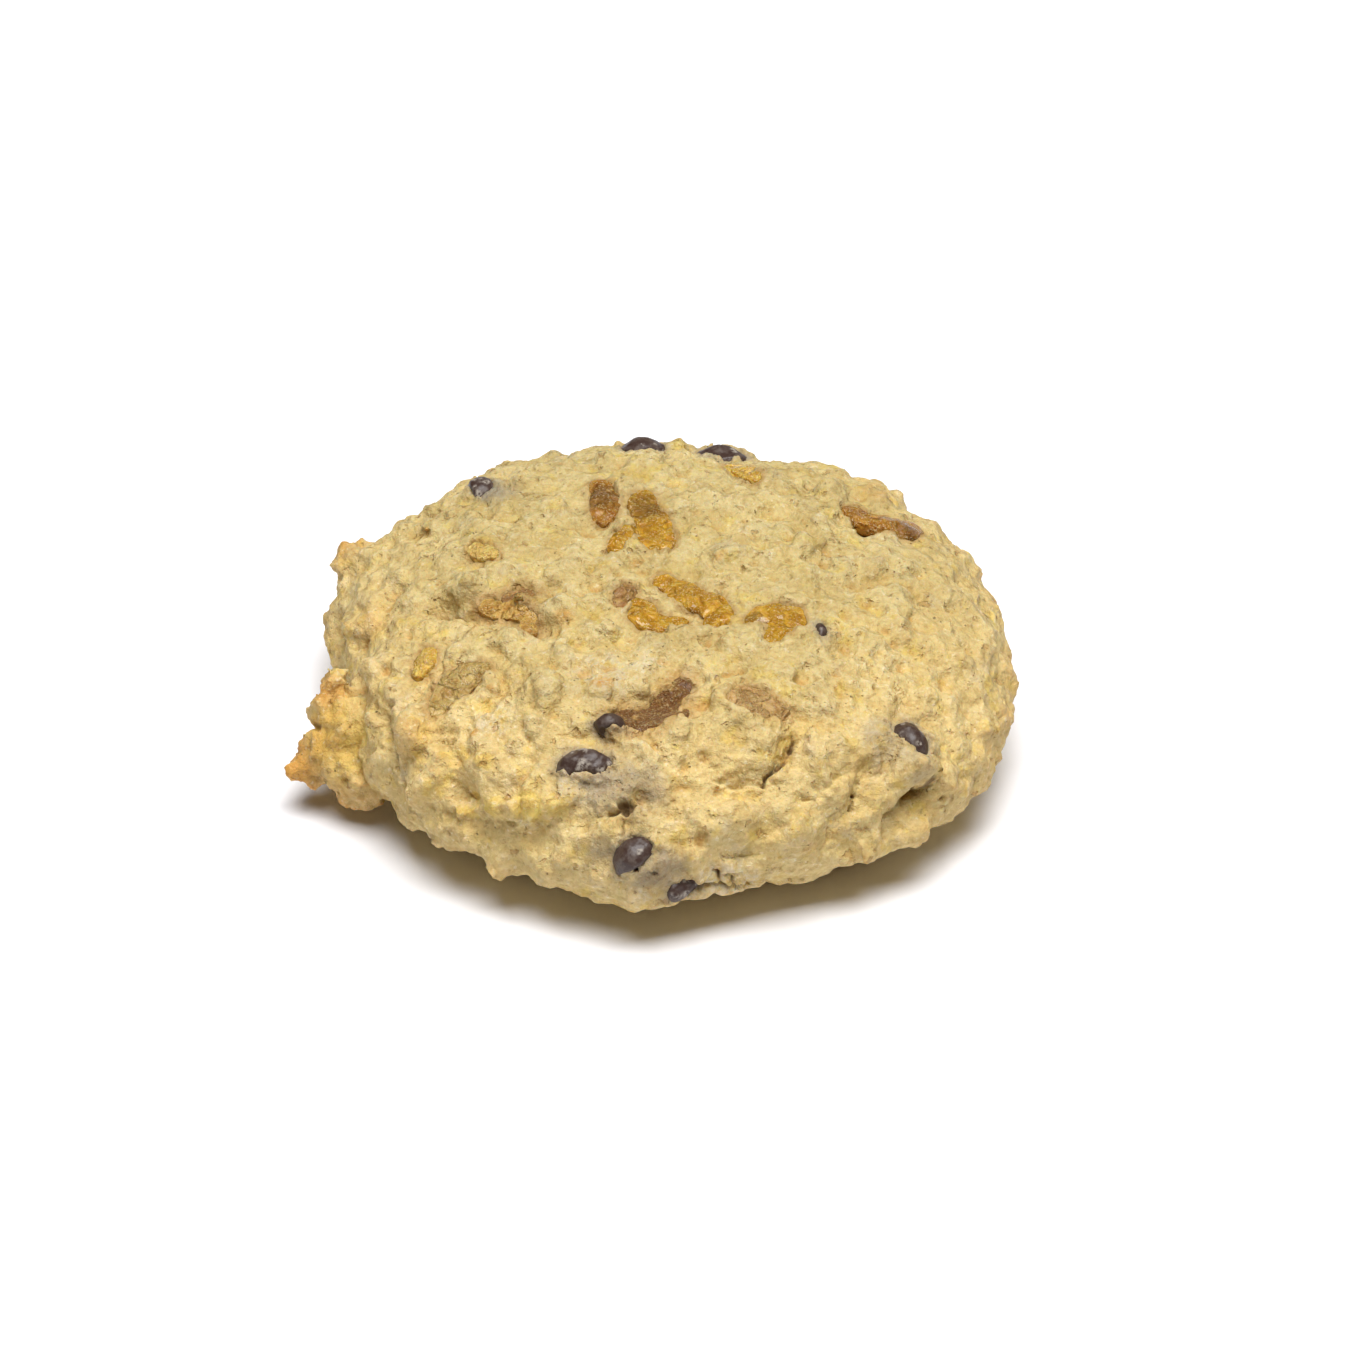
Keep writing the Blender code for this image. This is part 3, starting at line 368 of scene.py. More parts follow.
class CookieDough(bpy.types.PropertyGroup):
    """Sizes and colours of the baked dough."""

    draw_in: length("Draw in", "Room left for the crumbs all over the body", 0.6 * MM)
    grain: length("Grain", "Side of the even mesh's squares", 0.43 * MM)
    crumbs: count("Crumbs", "Crumbs of dough fused onto the skin", 420)
    most_faces: count("Most faces", "Triangles that the skin may have", 190000)
    crumb_radius: length("Crumb radius", "Middle radius of a crumb", 1.7 * MM)
    crumb_rise: length("Crumb rise", "How far a crumb stands out of the skin", 0.8 * MM)
    mound_height: length("Mound height", "Height of the broadest swells", 2.4 * MM)
    clump_height: length("Clump height", "Height of the broad clumps", 2.3 * MM)
    knob_height: length("Knob height", "Height of the knobs on the clumps", 1.25 * MM)
    swell_height: length("Swell height", "Height of the soft swells", 2.2 * MM)
    grit_height: length("Grit height", "Height of the fine grit on the skin", 0.5 * MM)
    crumble_height: length("Crumble height", "Height of the lumps on the loose crumb", 0.8 * MM)
    pale: colour("Pale", "Dry dough", (0.74, 0.59, 0.285))
    golden: colour("Golden", "Baked dough", (0.70, 0.515, 0.185))
    butter: colour("Butter", "Buttery spots", (0.78, 0.58, 0.14))
    floury: colour("Floury", "Floury spots", (0.72, 0.60, 0.37))
    # Dry: pale dry crumbs, partly a painted highlight on the raised points.
    dry_and_highlit: colour("Dry", "Dry crumbs on the points", (0.82, 0.71, 0.46))
    dusting: colour("Dusting", "Loose flour", (0.70, 0.61, 0.44))
    flakes: colour("Flakes", "Pale bits of oat", (0.90, 0.82, 0.62))
    toasted: colour("Toasted", "Browned edges and points", (0.68, 0.37, 0.085))
    # Hollow: painted shade, the colour the creases are darkened to.
    crease_shade_colour: colour("Hollow", "Moist dough down in creases", (0.56, 0.305, 0.085))
    # Between: painted shade between the crumbs, where the bump is low.
    between: colour("Between", "Moist dough between crumbs", (0.52, 0.32, 0.11))
    # Pitted: painted shade in the small pits.
    pit_shade: colour("Pitted", "Small pits", (0.50, 0.28, 0.085))
    # Syrup: the peel's syrup stain, with painted shade along the peel's edges.
    syrup_and_edge_shade: colour("Syrup", "Dough stained by the peel", (0.46, 0.25, 0.08))
    specks: colour("Specks", "Dark specks", (0.22, 0.14, 0.06))
    # Deepest: painted shade at the bottom of cracks and narrow pores.
    crack_shade: colour("Deepest", "The bottom of cracks and pores", (0.13, 0.07, 0.03))
    greyed: colour("Greyed", "Dough smeared with chocolate", (0.31, 0.26, 0.215))
    shaded: colour("Shaded", "Tint of dim patches", (0.87, 0.82, 0.71))
    # Sides and Crown: painted light and shade; the sides are painted lighter and warmer and the
    # crown darker, for how the light falls on them.
    sides: colour("Sides", "Tint of the sides", (1.0, 0.985, 0.965))
    crown: colour("Crown", "Tint of the crown", (0.85, 0.868, 0.868))
    broad: colour("Broad", "Tint of broad patches", (0.93, 0.92, 0.89))
    grained: colour("Grained", "Tint between the finest grains", (0.86, 0.82, 0.75))


class CookieDrops(bpy.types.PropertyGroup):
    """Sizes and colours of the chocolate drops."""

    swell: length("Swell", "How far a drop fills its pocket's gap", 0.12 * MM)
    grain: length("Grain", "Side of the even mesh's squares", 0.26 * MM)
    dents: length("Dents", "Depth of the melted dents", 0.35 * MM)
    chocolate: colour("Chocolate", "Dark chocolate", (0.05, 0.027, 0.020))
    bloom: colour("Bloom", "Grey bloom on the chocolate", (0.155, 0.12, 0.095))
    flour: colour("Flour", "Flour rubbed into the chocolate", (0.40, 0.35, 0.29))
    dullness: share("Dullness", "Roughness of the chocolate", 0.36)


class CookiePeel(bpy.types.PropertyGroup):
    """Sizes and colours of the candied peel."""

    grain: length("Grain", "Side of the even mesh's squares", 0.24 * MM)
    wrinkles: length("Wrinkles", "Depth of the wrinkles", 0.5 * MM)
    amber: colour("Amber", "Clear amber peel", (0.52, 0.285, 0.024))
    brown: colour("Brown", "Brown peel", (0.39, 0.185, 0.024))
    dark: colour("Dark", "The darkest places of the peel", (0.16, 0.072, 0.014))
    dusky: colour("Dusky", "Peel that took on the chocolate", (0.32, 0.17, 0.05))
    umber: colour("Umber", "Sunken peel stained by the chocolate", (0.20, 0.095, 0.026))
    tawny: colour("Tawny", "Sunken peel", (0.52, 0.315, 0.075))
    straw: colour("Straw", "Thin pale peel", (0.74, 0.54, 0.16))
    yellow: colour("Yellow", "Thin yellow peel", (0.66, 0.43, 0.085))
    pink: colour("Pink", "Peel under a film of dough", (0.44, 0.275, 0.10))
    pale: colour("Pale", "Peel under floury skin", (0.48, 0.33, 0.105))
    # Sugar: grains of sugar, painted as bright glints.
    sugar_glints: colour("Sugar", "Grains of sugar on the peel", (0.92, 0.76, 0.40))
    flour: colour("Flour", "Flour and dough on the peel", (0.60, 0.47, 0.24))


class CookieStage(bpy.types.PropertyGroup):
    """The table, the lights and the camera."""

    table: colour("Table", "The plain white table", (0.93, 0.925, 0.95))
    sky: bpy.props.FloatProperty(
        name="Sky", description="Strength of the even light", default=0.03, min=0
    )
    sky_colour: colour("Sky colour", "Colour of the even light", (0.85, 0.87, 1))
    softbox: bpy.props.FloatProperty(
        name="Softbox", description="Power of the large light above", default=9.8, unit="POWER"
    )
    fill: bpy.props.FloatProperty(
        name="Fill", description="Power of the light on the right", default=0.06, unit="POWER"
    )
    distance: length("Distance", "From the camera to what it looks at", 0.75)
    height: bpy.props.FloatProperty(
        name="Height", description="Camera's angle above the table", default=math.radians(37),
        subtype="ANGLE",
    )
    look_at: bpy.props.FloatVectorProperty(
        name="Look at", description="The point in the middle of the view", size=3,
        default=(0.0017, -0.003, 0.0114), subtype="TRANSLATION", unit="LENGTH",
    )
    lens: bpy.props.FloatProperty(
        name="Lens", description="Focal length in millimetres", default=152.7, min=1
    )


# Shader nodes


class Value:
    """The output of a shader node. Arithmetic on it adds Math nodes."""

    def __init__(self, finish, socket):
        self.finish = finish
        self.socket = socket

    def math(self, operation, first, second):
        return self.finish.node("ShaderNodeMath", {"operation": operation}, {0: first, 1: second})

    def __add__(self, other):
        return self.math("ADD", self, other)

    def __radd__(self, other):
        return self.math("ADD", other, self)

    def __sub__(self, other):
        return self.math("SUBTRACT", self, other)

    def __rsub__(self, other):
        return self.math("SUBTRACT", other, self)

    def __mul__(self, other):
        return self.math("MULTIPLY", self, other)

    def __rmul__(self, other):
        return self.math("MULTIPLY", other, self)


class Finish:
    """A material in the making, with its Principled shader."""

    def __init__(self, name, roughness, specular=0.5):
        self.material = bpy.data.materials.new(name)
        self.material.use_nodes = True
        self.tree = self.material.node_tree
        self.shader = self.tree.nodes["Principled BSDF"]
        self.set("Roughness", roughness)
        self.set("Specular IOR Level", specular)

    def set(self, name, value):
        self.fill(self.shader.inputs[name], value)

    def fill(self, socket, value):
        if isinstance(value, Value):
            self.tree.links.new(value.socket, socket)
        elif socket.type == "RGBA":
            socket.default_value = (*value, 1)
        else:
            socket.default_value = value

    def node(self, kind, settings=None, values=None, output=0):
        """Adds a node: first its settings, then the values or links of its sockets."""
        made = self.tree.nodes.new(kind)
        for name, setting in (settings or {}).items():
            setattr(made, name, setting)
        for name, value in (values or {}).items():
            self.fill(made.inputs[name], value)
        return Value(self, made.outputs[output])

    def place(self):
        return self.node("ShaderNodeTexCoord", output="Object")

    def cloud(self, size, detail=3.0, roughness=0.5, distortion=0.0):
        """Noise from 0 to 1 with lumps of a size in metres."""
        values = {
            "Vector": self.place(), "Scale": 1 / size, "Detail": detail,
            "Roughness": roughness, "Distortion": distortion,
        }
        return self.node("ShaderNodeTexNoise", {"normalize": True}, values)

    def cells(self, size):
        """Smooth distance to the nearest of points scattered a size in metres apart."""
        values = {"Vector": self.place(), "Scale": 1 / size}
        return self.node("ShaderNodeTexVoronoi", {"feature": "SMOOTH_F1"}, values)

    def scatter(self, size):
        """An even value from 0 to 1 for each of scattered cells of a size in metres."""
        values = {"Vector": self.place(), "Scale": 1 / size}
        return self.node("ShaderNodeTexVoronoi", {}, values, output="Color")

    def painted(self, name):
        """A value painted on the mesh."""
        return self.node("ShaderNodeAttribute", {"attribute_name": name}, output="Fac")

    def step(self, value, low, high):
        """Rises smoothly from 0 at low to 1 at high, or falls where low is the larger."""
        settings = {"interpolation_type": "SMOOTHSTEP"}
        if low < high:
            return self.node(
                "ShaderNodeMapRange", settings, {"Value": value, "From Min": low, "From Max": high}
            )
        return 1 - self.step(value, high, low)

    def mix(self, factor, first, second, blend="MIX"):
        """Mixes two colours."""
        settings = {"data_type": "RGBA", "blend_type": blend}
        return self.node("ShaderNodeMix", settings, {0: factor, 6: first, 7: second}, output=2)

    def tint(self, base, factor, low, high):
        """Multiplies a colour by another that goes from low to high."""
        return self.mix(1.0, base, self.mix(factor, low, high), "MULTIPLY")

    def bump(self, height, distance):
        values = {"Height": height, "Distance": distance, "Strength": 1.0}
        return self.node("ShaderNodeBump", {}, values)


def dough_finish(sizes):
    """Pale golden dough: mottled, browned on its points, with painted shade in its creases and
    pores.
    """
    dough = Finish("baked dough", 0.62, specular=0.28)
    patches = dough.cloud(7 * MM, 3, 0.55)
    flecks = dough.cloud(2.2 * MM, 4, 0.6)
    crumbs = dough.cloud(1.0 * MM, 4, 0.65)
    grit = dough.cloud(0.42 * MM, 3, 0.6)
    grains = 1 - dough.cells(1.5 * MM)
    relief = dough.painted("relief")
    toast = dough.painted("toast")
    grey = dough.painted("grey")
    stain_and_shade = dough.painted("stain_and_shade")
    deep = dough.painted("deep")
    floured = dough.painted("floured")
    butter = dough.painted("butter") * (0.5 + flecks)

    warmth = dough.step(patches * 0.4 + flecks * 0.8 - relief * 0.3, 0.32, 0.80)
    base = dough.mix(warmth, sizes.pale, sizes.golden)
    buttery = dough.step(dough.cloud(3.3 * MM, 3, 0.6), 0.55, 0.68)
    base = dough.mix(buttery * 0.6, base, sizes.butter)
    floury = dough.step(dough.cloud(4.1 * MM, 4, 0.65), 0.56, 0.68)
    base = dough.mix(floury * 0.6, base, sizes.floury)
    base = dough.mix(dough.step(butter, 0.2, 0.9) * 0.75, base, sizes.butter)
    browned = toast * (0.3 + flecks * 0.5 + grit * 0.3 + relief * 0.5)
    browned = browned + dough.step(relief, 0.8, 1.1) * 0.12
    base = dough.mix(dough.step(browned, 0.05, 0.95), base, sizes.toasted)
    # Pale dry crumbs on the raised points, partly a painted highlight there.
    dry_and_highlit = dough.step(crumbs, 0.53, 0.68) * dough.step(relief, 0.35, 0.75)
    base = dough.mix(dry_and_highlit * 0.5, base, sizes.dry_and_highlit)
    dusted = dough.step(floured * (0.5 + flecks), 0.15, 0.85) * dough.step(crumbs, 0.40, 0.58)
    base = dough.mix(dusted * 0.75, base, sizes.dusting)
    # Painted shade: darker where the skin lies below its ironed level, down in its creases.
    crease_shade = dough.step(relief, 0.38, 0.0) * 0.65
    base = dough.mix(crease_shade, base, sizes.crease_shade_colour)
    # Painted shade between the crumbs: darker where the crumb noise, and with it the bump, is low.
    base = dough.mix(dough.step(crumbs, 0.46, 0.33) * 0.4, base, sizes.between)
    # Painted shade in the small pits that the bump dents in.
    pits = dough.step(dough.cloud(1.7 * MM, 3, 0.6), 0.38, 0.29)
    base = dough.mix(pits * 0.5, base, sizes.pit_shade)
    bits = dough.step(dough.cloud(0.7 * MM, 2, 0.5), 0.62, 0.72)
    base = dough.mix(bits * 0.4, base, sizes.flakes)
    # Syrup stain round the peel, partly painted shade along its edges.
    stained_and_shaded = dough.step(stain_and_shade * (0.5 + flecks), 0.15, 0.95)
    base = dough.mix(stained_and_shaded * 0.62, base, sizes.syrup_and_edge_shade)
    smeared = dough.step(grey * (0.35 + flecks * 1.3), 0.2, 0.95)
    base = dough.mix(smeared * 0.7, base, sizes.greyed)
    specks = dough.step(dough.cloud(0.55 * MM, 1, 0.5), 0.70, 0.78)
    specks = specks * dough.step(dough.cloud(6 * MM, 2), 0.46, 0.60)
    base = dough.mix(specks * 0.7, base, sizes.specks)
    # Painted shade, darkest at the bottom of cracks and narrow pores.
    base = dough.mix(dough.step(deep, 0.45, 1.0) * 0.85, base, sizes.crack_shade)
    shade = dough.step(flecks * 0.4 + dough.cloud(5.2 * MM, 3, 0.6) * 0.6, 0.38, 0.60)
    base = dough.tint(base, shade, sizes.shaded, WHITE)
    # Painted light and shade: the crown darker, the sides lighter and warmer.
    base = dough.tint(base, dough.painted("crown"), sizes.sides, sizes.crown)
    broad = dough.step(dough.cloud(14 * MM, 2), 0.4, 0.6)
    base = dough.tint(base, broad, sizes.broad, WHITE)
    grained = dough.step(grit * 0.5 + dough.scatter(0.5 * MM) * 0.5, 0.25, 0.65)
    dough.set("Base Color", dough.tint(base, grained, sizes.grained, WHITE))
    dough.set("Roughness", 0.72 - toast * 0.14 - stain_and_shade * 0.2)
    dough.set("Subsurface Weight", 0.3)
    dough.set("Subsurface Radius", (1.0, 0.45, 0.18))
    dough.set("Subsurface Scale", 1.2 * MM)
    height = flecks * 0.30 + grains * 0.55 + crumbs * 0.34 + grit * 0.24
    dough.set("Normal", dough.bump(height - specks * 0.3 - pits * 0.25, 1.15 * MM))
    return dough.material


def chocolate_finish(sizes):
    """Dark chocolate: part glossy, with a grey bloom and flour rubbed into its dents."""
    chocolate = Finish("chocolate", sizes.dullness, specular=0.4)
    cloudy = chocolate.cloud(1.6 * MM, 4, 0.6)
    dust = chocolate.cloud(0.45 * MM, 3, 0.6)
    bloom = chocolate.step(cloudy * 0.75 + dust * 0.4, 0.5, 0.78)
    base = chocolate.mix(bloom * 0.6, sizes.chocolate, sizes.bloom)
    flour = chocolate.painted("flour") * chocolate.step(dust, 0.35, 0.6)
    base = chocolate.mix(flour * 0.85, base, sizes.flour)
    chocolate.set("Base Color", base)
    chocolate.set("Roughness", sizes.dullness + bloom * 0.25 + flour * 0.3)
    chocolate.set("Normal", chocolate.bump(cloudy * 0.4 + dust * 0.2, 0.3 * MM))
    return chocolate.material


def peel_finish(sizes, tint):
    """Candied peel: sticky, translucent and wrinkled, with painted shade down in the wrinkles and
    sugar grains painted as bright glints. Peel that lies under a film of dough is dull."""
    wet = tint in WET_PEEL
    peel = Finish(f"candied peel, {tint}", 0.2)
    shade = Vector(getattr(sizes, tint))
    veins = peel.cloud(1.5 * MM, 4, 0.6, 0.8)
    pips = peel.cloud(0.45 * MM, 3, 0.6)
    sugar_glints = peel.cloud(0.28 * MM, 1, 0.5)
    rough = peel.step(peel.cloud(2.2 * MM, 2, 0.5), 0.40, 0.54)
    relief = peel.painted("relief")
    deeper = Vector((shade.x * 0.80, shade.y * 0.66, shade.z * 0.5))
    base = peel.mix(peel.step(veins, 0.32, 0.62), deeper, shade * 1.12)
    base = peel.mix(peel.painted("dark") * 0.85, base, sizes.dark)
    # Painted shade down in the wrinkles, where the peel lies below its ironed level.
    base = peel.mix(peel.step(relief, 0.40, 0.05) * 0.45, base, shade * 0.5)
    pale = Vector((0.72, 0.48, 0.14)) * 0.5 + shade * 0.6
    base = peel.mix(peel.step(veins + pips * 0.3, 0.70, 0.88) * 0.6, base, pale)
    # Painted glints: pale dots that stand for light sparkling on grains of sugar.
    painted_glints = peel.step(sugar_glints, 0.56, 0.66) * rough
    base = peel.mix(painted_glints * (0.4 if wet else 0.25), base, sizes.sugar_glints)
    flour = peel.painted("flour") * peel.step(pips, 0.4, 0.62)
    base = peel.mix(flour * 0.8, base, sizes.flour)
    peel.set("Base Color", base)
    peel.set("Roughness", (0.10 if wet else 0.34) + pips * 0.12 + flour * 0.4)
    peel.set("Coat Weight", (0.55 if tint == "amber" else 0.12) * (1 - flour))
    peel.set("Coat Roughness", 0.05)
    peel.set("Subsurface Weight", 0.4 if wet else 0.25)
    peel.set("Subsurface Radius", (1.0, 0.4, 0.08))
    peel.set("Subsurface Scale", 1.4 * MM)
    height = veins * 0.7 + pips * (0.2 + rough * 0.55) + sugar_glints * rough * 0.3
    peel.set("Normal", peel.bump(height, 1.2 * MM))
    return peel.material


# Meshes


def deselect():
    for chosen in list(bpy.context.selected_objects):
        chosen.select_set(False)


def choose(*objects):
    """Selects these objects alone; the last one is the active one."""
    deselect()
    for chosen in objects:
        chosen.select_set(True)
    bpy.context.view_layer.objects.active = objects[-1]


def modify(piece, kind, **settings):
    """Adds a modifier with its settings and applies it."""
    choose(piece)
    bpy.ops.object.modifier_add(type=kind)
    modifier = piece.modifiers[-1]
    for name, setting in settings.items():
        setattr(modifier, name, setting)
    bpy.ops.object.modifier_apply(modifier=modifier.name)


def join(pieces, name):
    choose(*pieces)
    bpy.ops.object.join()
    joined = bpy.context.active_object
    joined.name = name
    joined.data.name = name
    return joined


def copy_of(node, name):
    """An own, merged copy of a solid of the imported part."""
    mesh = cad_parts[node].data.copy()
    mesh.materials.clear()
    piece = bpy.data.objects.new(name, mesh)
    bpy.context.scene.collection.objects.link(piece)
    choose(piece)
    bpy.ops.object.mode_set(mode="EDIT")
    bpy.ops.mesh.select_all(action="SELECT")
    bpy.ops.mesh.remove_doubles(threshold=0.001 * MM)
    bpy.ops.mesh.customdata_custom_splitnormals_clear()
    bpy.ops.object.mode_set(mode="OBJECT")
    return piece


def cloud_texture(name, size, depth):
    made = bpy.data.textures.new(name, "CLOUDS")
    made.noise_scale = size
    made.noise_depth = depth
    return made


def points_of(piece):
    points = np.empty(len(piece.data.vertices) * 3, np.float32)
    piece.data.vertices.foreach_get("co", points)
    return points.reshape(-1, 3).astype(float)


def normals_of(piece):
    normals = np.empty(len(piece.data.vertices) * 3, np.float32)
    piece.data.vertices.foreach_get("normal", normals)
    return normals.reshape(-1, 3).astype(float)


def set_points(piece, points):
    piece.data.vertices.foreach_set("co", points.astype(np.float32).ravel())
    piece.data.update()


def tree_of(piece):
    return BVHTree.FromPolygons(
        [vertex.co for vertex in piece.data.vertices],
        [tuple(face.vertices) for face in piece.data.polygons],
    )


def paint(piece, name, values):
    """Stores a value for every point, for the finishes to read."""
    layer = piece.data.attributes.get(name)
    if layer is None:
        layer = piece.data.attributes.new(name, "FLOAT", "POINT")
    layer.data.foreach_set("value", np.asarray(values, np.float32))


def group(piece, name, weights):
    """A vertex group with these weights, for a modifier to act on."""
    made = piece.vertex_groups.new(name=name)
    for level in range(1, 21):
        members = np.nonzero(np.round(np.clip(weights, 0, 1) * 20) == level)[0]
        if len(members):
            made.add(members.tolist(), level / 20, "REPLACE")
    return made.name


def rise(values, low, high):
    """0 below low and 1 above high, smoothly; the other way round where low is the larger."""
    share_of = np.clip((values - low) / (high - low), 0, 1)
    return share_of * share_of * (3 - 2 * share_of)


def spots(points, table, scale=1.0):
    """The strongest of the soft round spots in a table of (x, y, z, radius, strength)."""
    total = np.zeros(len(points))
    for x, y, z, radius, strength in table:
        distance = np.linalg.norm(points - np.array((x, y, z)) * MM, axis=1)
        spot = np.clip(1 - (distance / (radius * scale * MM)) ** 2, 0, 1) * strength
        total = np.maximum(total, spot)
    return total


def wobble(points, size, seed):
    """Smooth noise from about -1 to 1 at each point."""
    offset = Vector((seed * 3.1, seed * 1.7, seed * 0.9))
    return np.array([noise.noise(Vector(point) / size + offset) for point in points])


def frame_at(point, normal, spin):
    """A matrix at a point with its Z along the normal, turned about it by spin."""
    side = normal.orthogonal().normalized()
    along = Matrix.Rotation(spin, 3, normal) @ side
    across = normal.cross(along)
    turn = Matrix((along, across, normal)).transposed().to_4x4()
    return Matrix.Translation(point) @ turn


# The dough


def even(piece, grain):
    modify(piece, "REMESH", mode="VOXEL", voxel_size=grain)


def body_copy(sizes):
    """The dough's solid with its facets rounded, drawn in to leave room for the crumbs.
    Its pockets are filled by the pieces that sit in them, swollen into the gap."""
    fillings = []
    for node in piece_nodes():
        filling = copy_of(node, f"filling {node}")
        modify(filling, "DISPLACE", strength=0.42 * MM, mid_level=0)
        if node in STRIPS:
            set_points(filling, points_of(filling) - np.array((0, 0, 0.7 * MM)))
        fillings.append(filling)
    body = join(fillings + [copy_of("dough", "body")], "dough_skin")
    even(body, 0.6 * MM)
    modify(body, "SMOOTH", factor=0.5, iterations=9)
    above_base = rise(points_of(body)[:, 2], 0.4 * MM, 2.5 * MM)
    sides = group(body, "sides", above_base)
    modify(body, "DISPLACE", strength=-sizes.draw_in, mid_level=0, vertex_group=sides)
    body.vertex_groups.clear()
    return body


def rough_crumb(name, seed):
    """A crumb of radius 1: a ball with its points shifted."""
    bpy.ops.mesh.primitive_ico_sphere_add(subdivisions=2, radius=1)
    crumb = bpy.context.active_object
    crumb.name = name
    bpy.ops.object.mode_set(mode="EDIT")
    bpy.ops.mesh.select_all(action="SELECT")
    bpy.ops.transform.vertex_random(offset=0.22, uniform=0.3, normal=0.6, seed=seed)
    bpy.ops.object.mode_set(mode="OBJECT")
    return crumb


def from_crumb(point):
    """How far a point lies from the middle of the loose crumb, in millimetres."""
    return math.dist([c / MM for c in point], CRUMB_MIDDLE)


def craggy(point):
    """How craggy the skin is at a point: most at the left, the rim and the loose crumb, less
    on the right of the crown and on the wall in front."""
    x, y, z = (c / MM for c in point)
    left = rise(-x - 0.55 * y, -12, 22)
    rim = rise(math.hypot(x, y), 34, 43)
    wall = rise(-y, 30, 36) * rise(-z, -17, -12) * rise(-abs(x), -40, -30)
    crumb = rise(from_crumb(point), 10, 6)
    crags = max(0.48, 0.62 * left, 0.55 * rim * (0.6 + 0.4 * left))
    return float(max(crags * (1 - 0.7 * wall), 0.5 * crumb))


def loose(point):
    """How much a point belongs to the loose crumb on the left side."""
    return float(rise(from_crumb(point), 11, 7))


def soft(point):
    """How much the skin swells softly at a point: most on the right of the crown."""
    x, y, _ = (c / MM for c in point)
    return float(0.4 + 0.6 * rise(x + 0.3 * y, -25, 0) * rise(-math.hypot(x, y), -42, -32))


def scattered(body, number, radius, rng):
    """Places for crumbs on the body, spread evenly: (point, normal, radius, cragginess)."""
    body.data.calc_loop_triangles()
    triangles = body.data.loop_triangles
    areas = np.array([triangle.area for triangle in triangles])
    total = np.cumsum(areas)
    places = []
    for _ in range(number * 12):
        triangle = triangles[int(np.searchsorted(total, rng.random() * total[-1]))]
        point = triangle.center.copy()
        if point.z < 2.6 * MM or triangle.normal.z < -0.75:
            continue
        crag = craggy(point)
        size = radius * (0.55 + 0.9 * rng.random() ** 1.5) * (1.2 - 0.25 * crag)
        if any((point - other).length < 0.62 * (size + reach) for other, _, reach, _ in places):
            continue
        places.append((point, triangle.normal.copy(), size, crag))
        if len(places) == number:
            break
    return places


def add_crumbs(body, sizes):
    rng = random.Random(17)
    kinds = [rough_crumb(f"crumb {k}", k + 3) for k in range(5)]
    crumbs = []
    for point, normal, size, crag in scattered(body, sizes.crumbs, sizes.crumb_radius, rng):
        height = sizes.crumb_rise * (0.45 + 0.8 * rng.random()) * (0.25 + crag)
        thick = max(height * 1.6, size * 0.35)
        stretch = 0.75 + 0.5 * rng.random()
        placed = frame_at(point + normal * (height - thick), normal, rng.random() * math.tau)
        mesh = rng.choice(kinds).data.copy()
        mesh.transform(placed @ Matrix.Diagonal((size * stretch, size / stretch, thick, 1)))
        crumb = bpy.data.objects.new("crumb", mesh)
        bpy.context.scene.collection.objects.link(crumb)
        crumbs.append(crumb)
    for number, (x, y, z, side, turn) in enumerate(CRUMB_BLOCKS):
        bpy.ops.mesh.primitive_cube_add(
            size=side * MM, location=Vector((x, y, z)) * MM,
            rotation=(math.radians(turn * 0.7), math.radians(25 - turn * 0.6), math.radians(turn)),
        )
        crumbs.append(bpy.context.active_object)
        bpy.ops.object.mode_set(mode="EDIT")
        bpy.ops.mesh.subdivide(number_cuts=2, smoothness=0)
        bpy.ops.transform.vertex_random(offset=0.3 * MM, uniform=0.5, normal=0.3, seed=number)
        bpy.ops.object.mode_set(mode="OBJECT")
    for x, y, z, long, heading, tilt in RIM_FLAKES:
        heading, tilt = math.radians(heading), math.radians(tilt)
        out = Vector((math.cos(heading) * math.cos(tilt), math.sin(heading) * math.cos(tilt),
                      math.sin(tilt)))
        nearest = tree_of(body).find_nearest(Vector((x, y, z)) * MM)[0]
        placed = frame_at(nearest - out * long * 0.45 * MM, out, rng.random() * math.tau)
        mesh = rng.choice(kinds).data.copy()
        wide = long * (0.75 + 0.25 * rng.random())
        mesh.transform(placed @ Matrix.Diagonal((wide * MM, wide * 0.7 * MM, long * MM, 1)))
        flake = bpy.data.objects.new("flake", mesh)
        bpy.context.scene.collection.objects.link(flake)
        crumbs.append(flake)
    body = join(crumbs + [body], "dough_skin")
    for kind in kinds:
        bpy.data.objects.remove(kind)
    return body


def close_to(points, places, reach):
    """The points in a box round some places, all in metres."""
    low, high = np.min(places, axis=0) - reach, np.max(places, axis=0) + reach
    return np.nonzero(((points > low) & (points < high)).all(axis=1))[0]


def wandering(points, size, reach):
    """The points shifted by smooth noise, so that what is measured from them looks ragged."""
    shifts = [noise.noise_vector(Vector(point) / size) for point in points]
    return points + np.array(shifts).reshape(-1, 3) * reach


def outward(points):
    """The way out of the cookie at each point, as if it were a smooth cushion."""
    out = (points / MM - (0, 0, WAIST)) / (BODY_RADIUS**2, BODY_RADIUS**2, CROWN_HEIGHT**2)
    return out / np.linalg.norm(out, axis=1)[:, None]


def apart_from(points, start, end):
    """How far each point lies from a line on the skin, in millimetres, and how far along it
    from 0 to 1. Height above the line hardly counts."""
    along = end - start
    part = np.clip((points / MM - start) @ along / max(float(along @ along), 1e-9), 0, 1)
    apart = points / MM - start - part[:, None] * along
    out = outward(points)
    apart -= 0.85 * (apart * out).sum(axis=1)[:, None] * out
    return np.linalg.norm(apart, axis=1), part


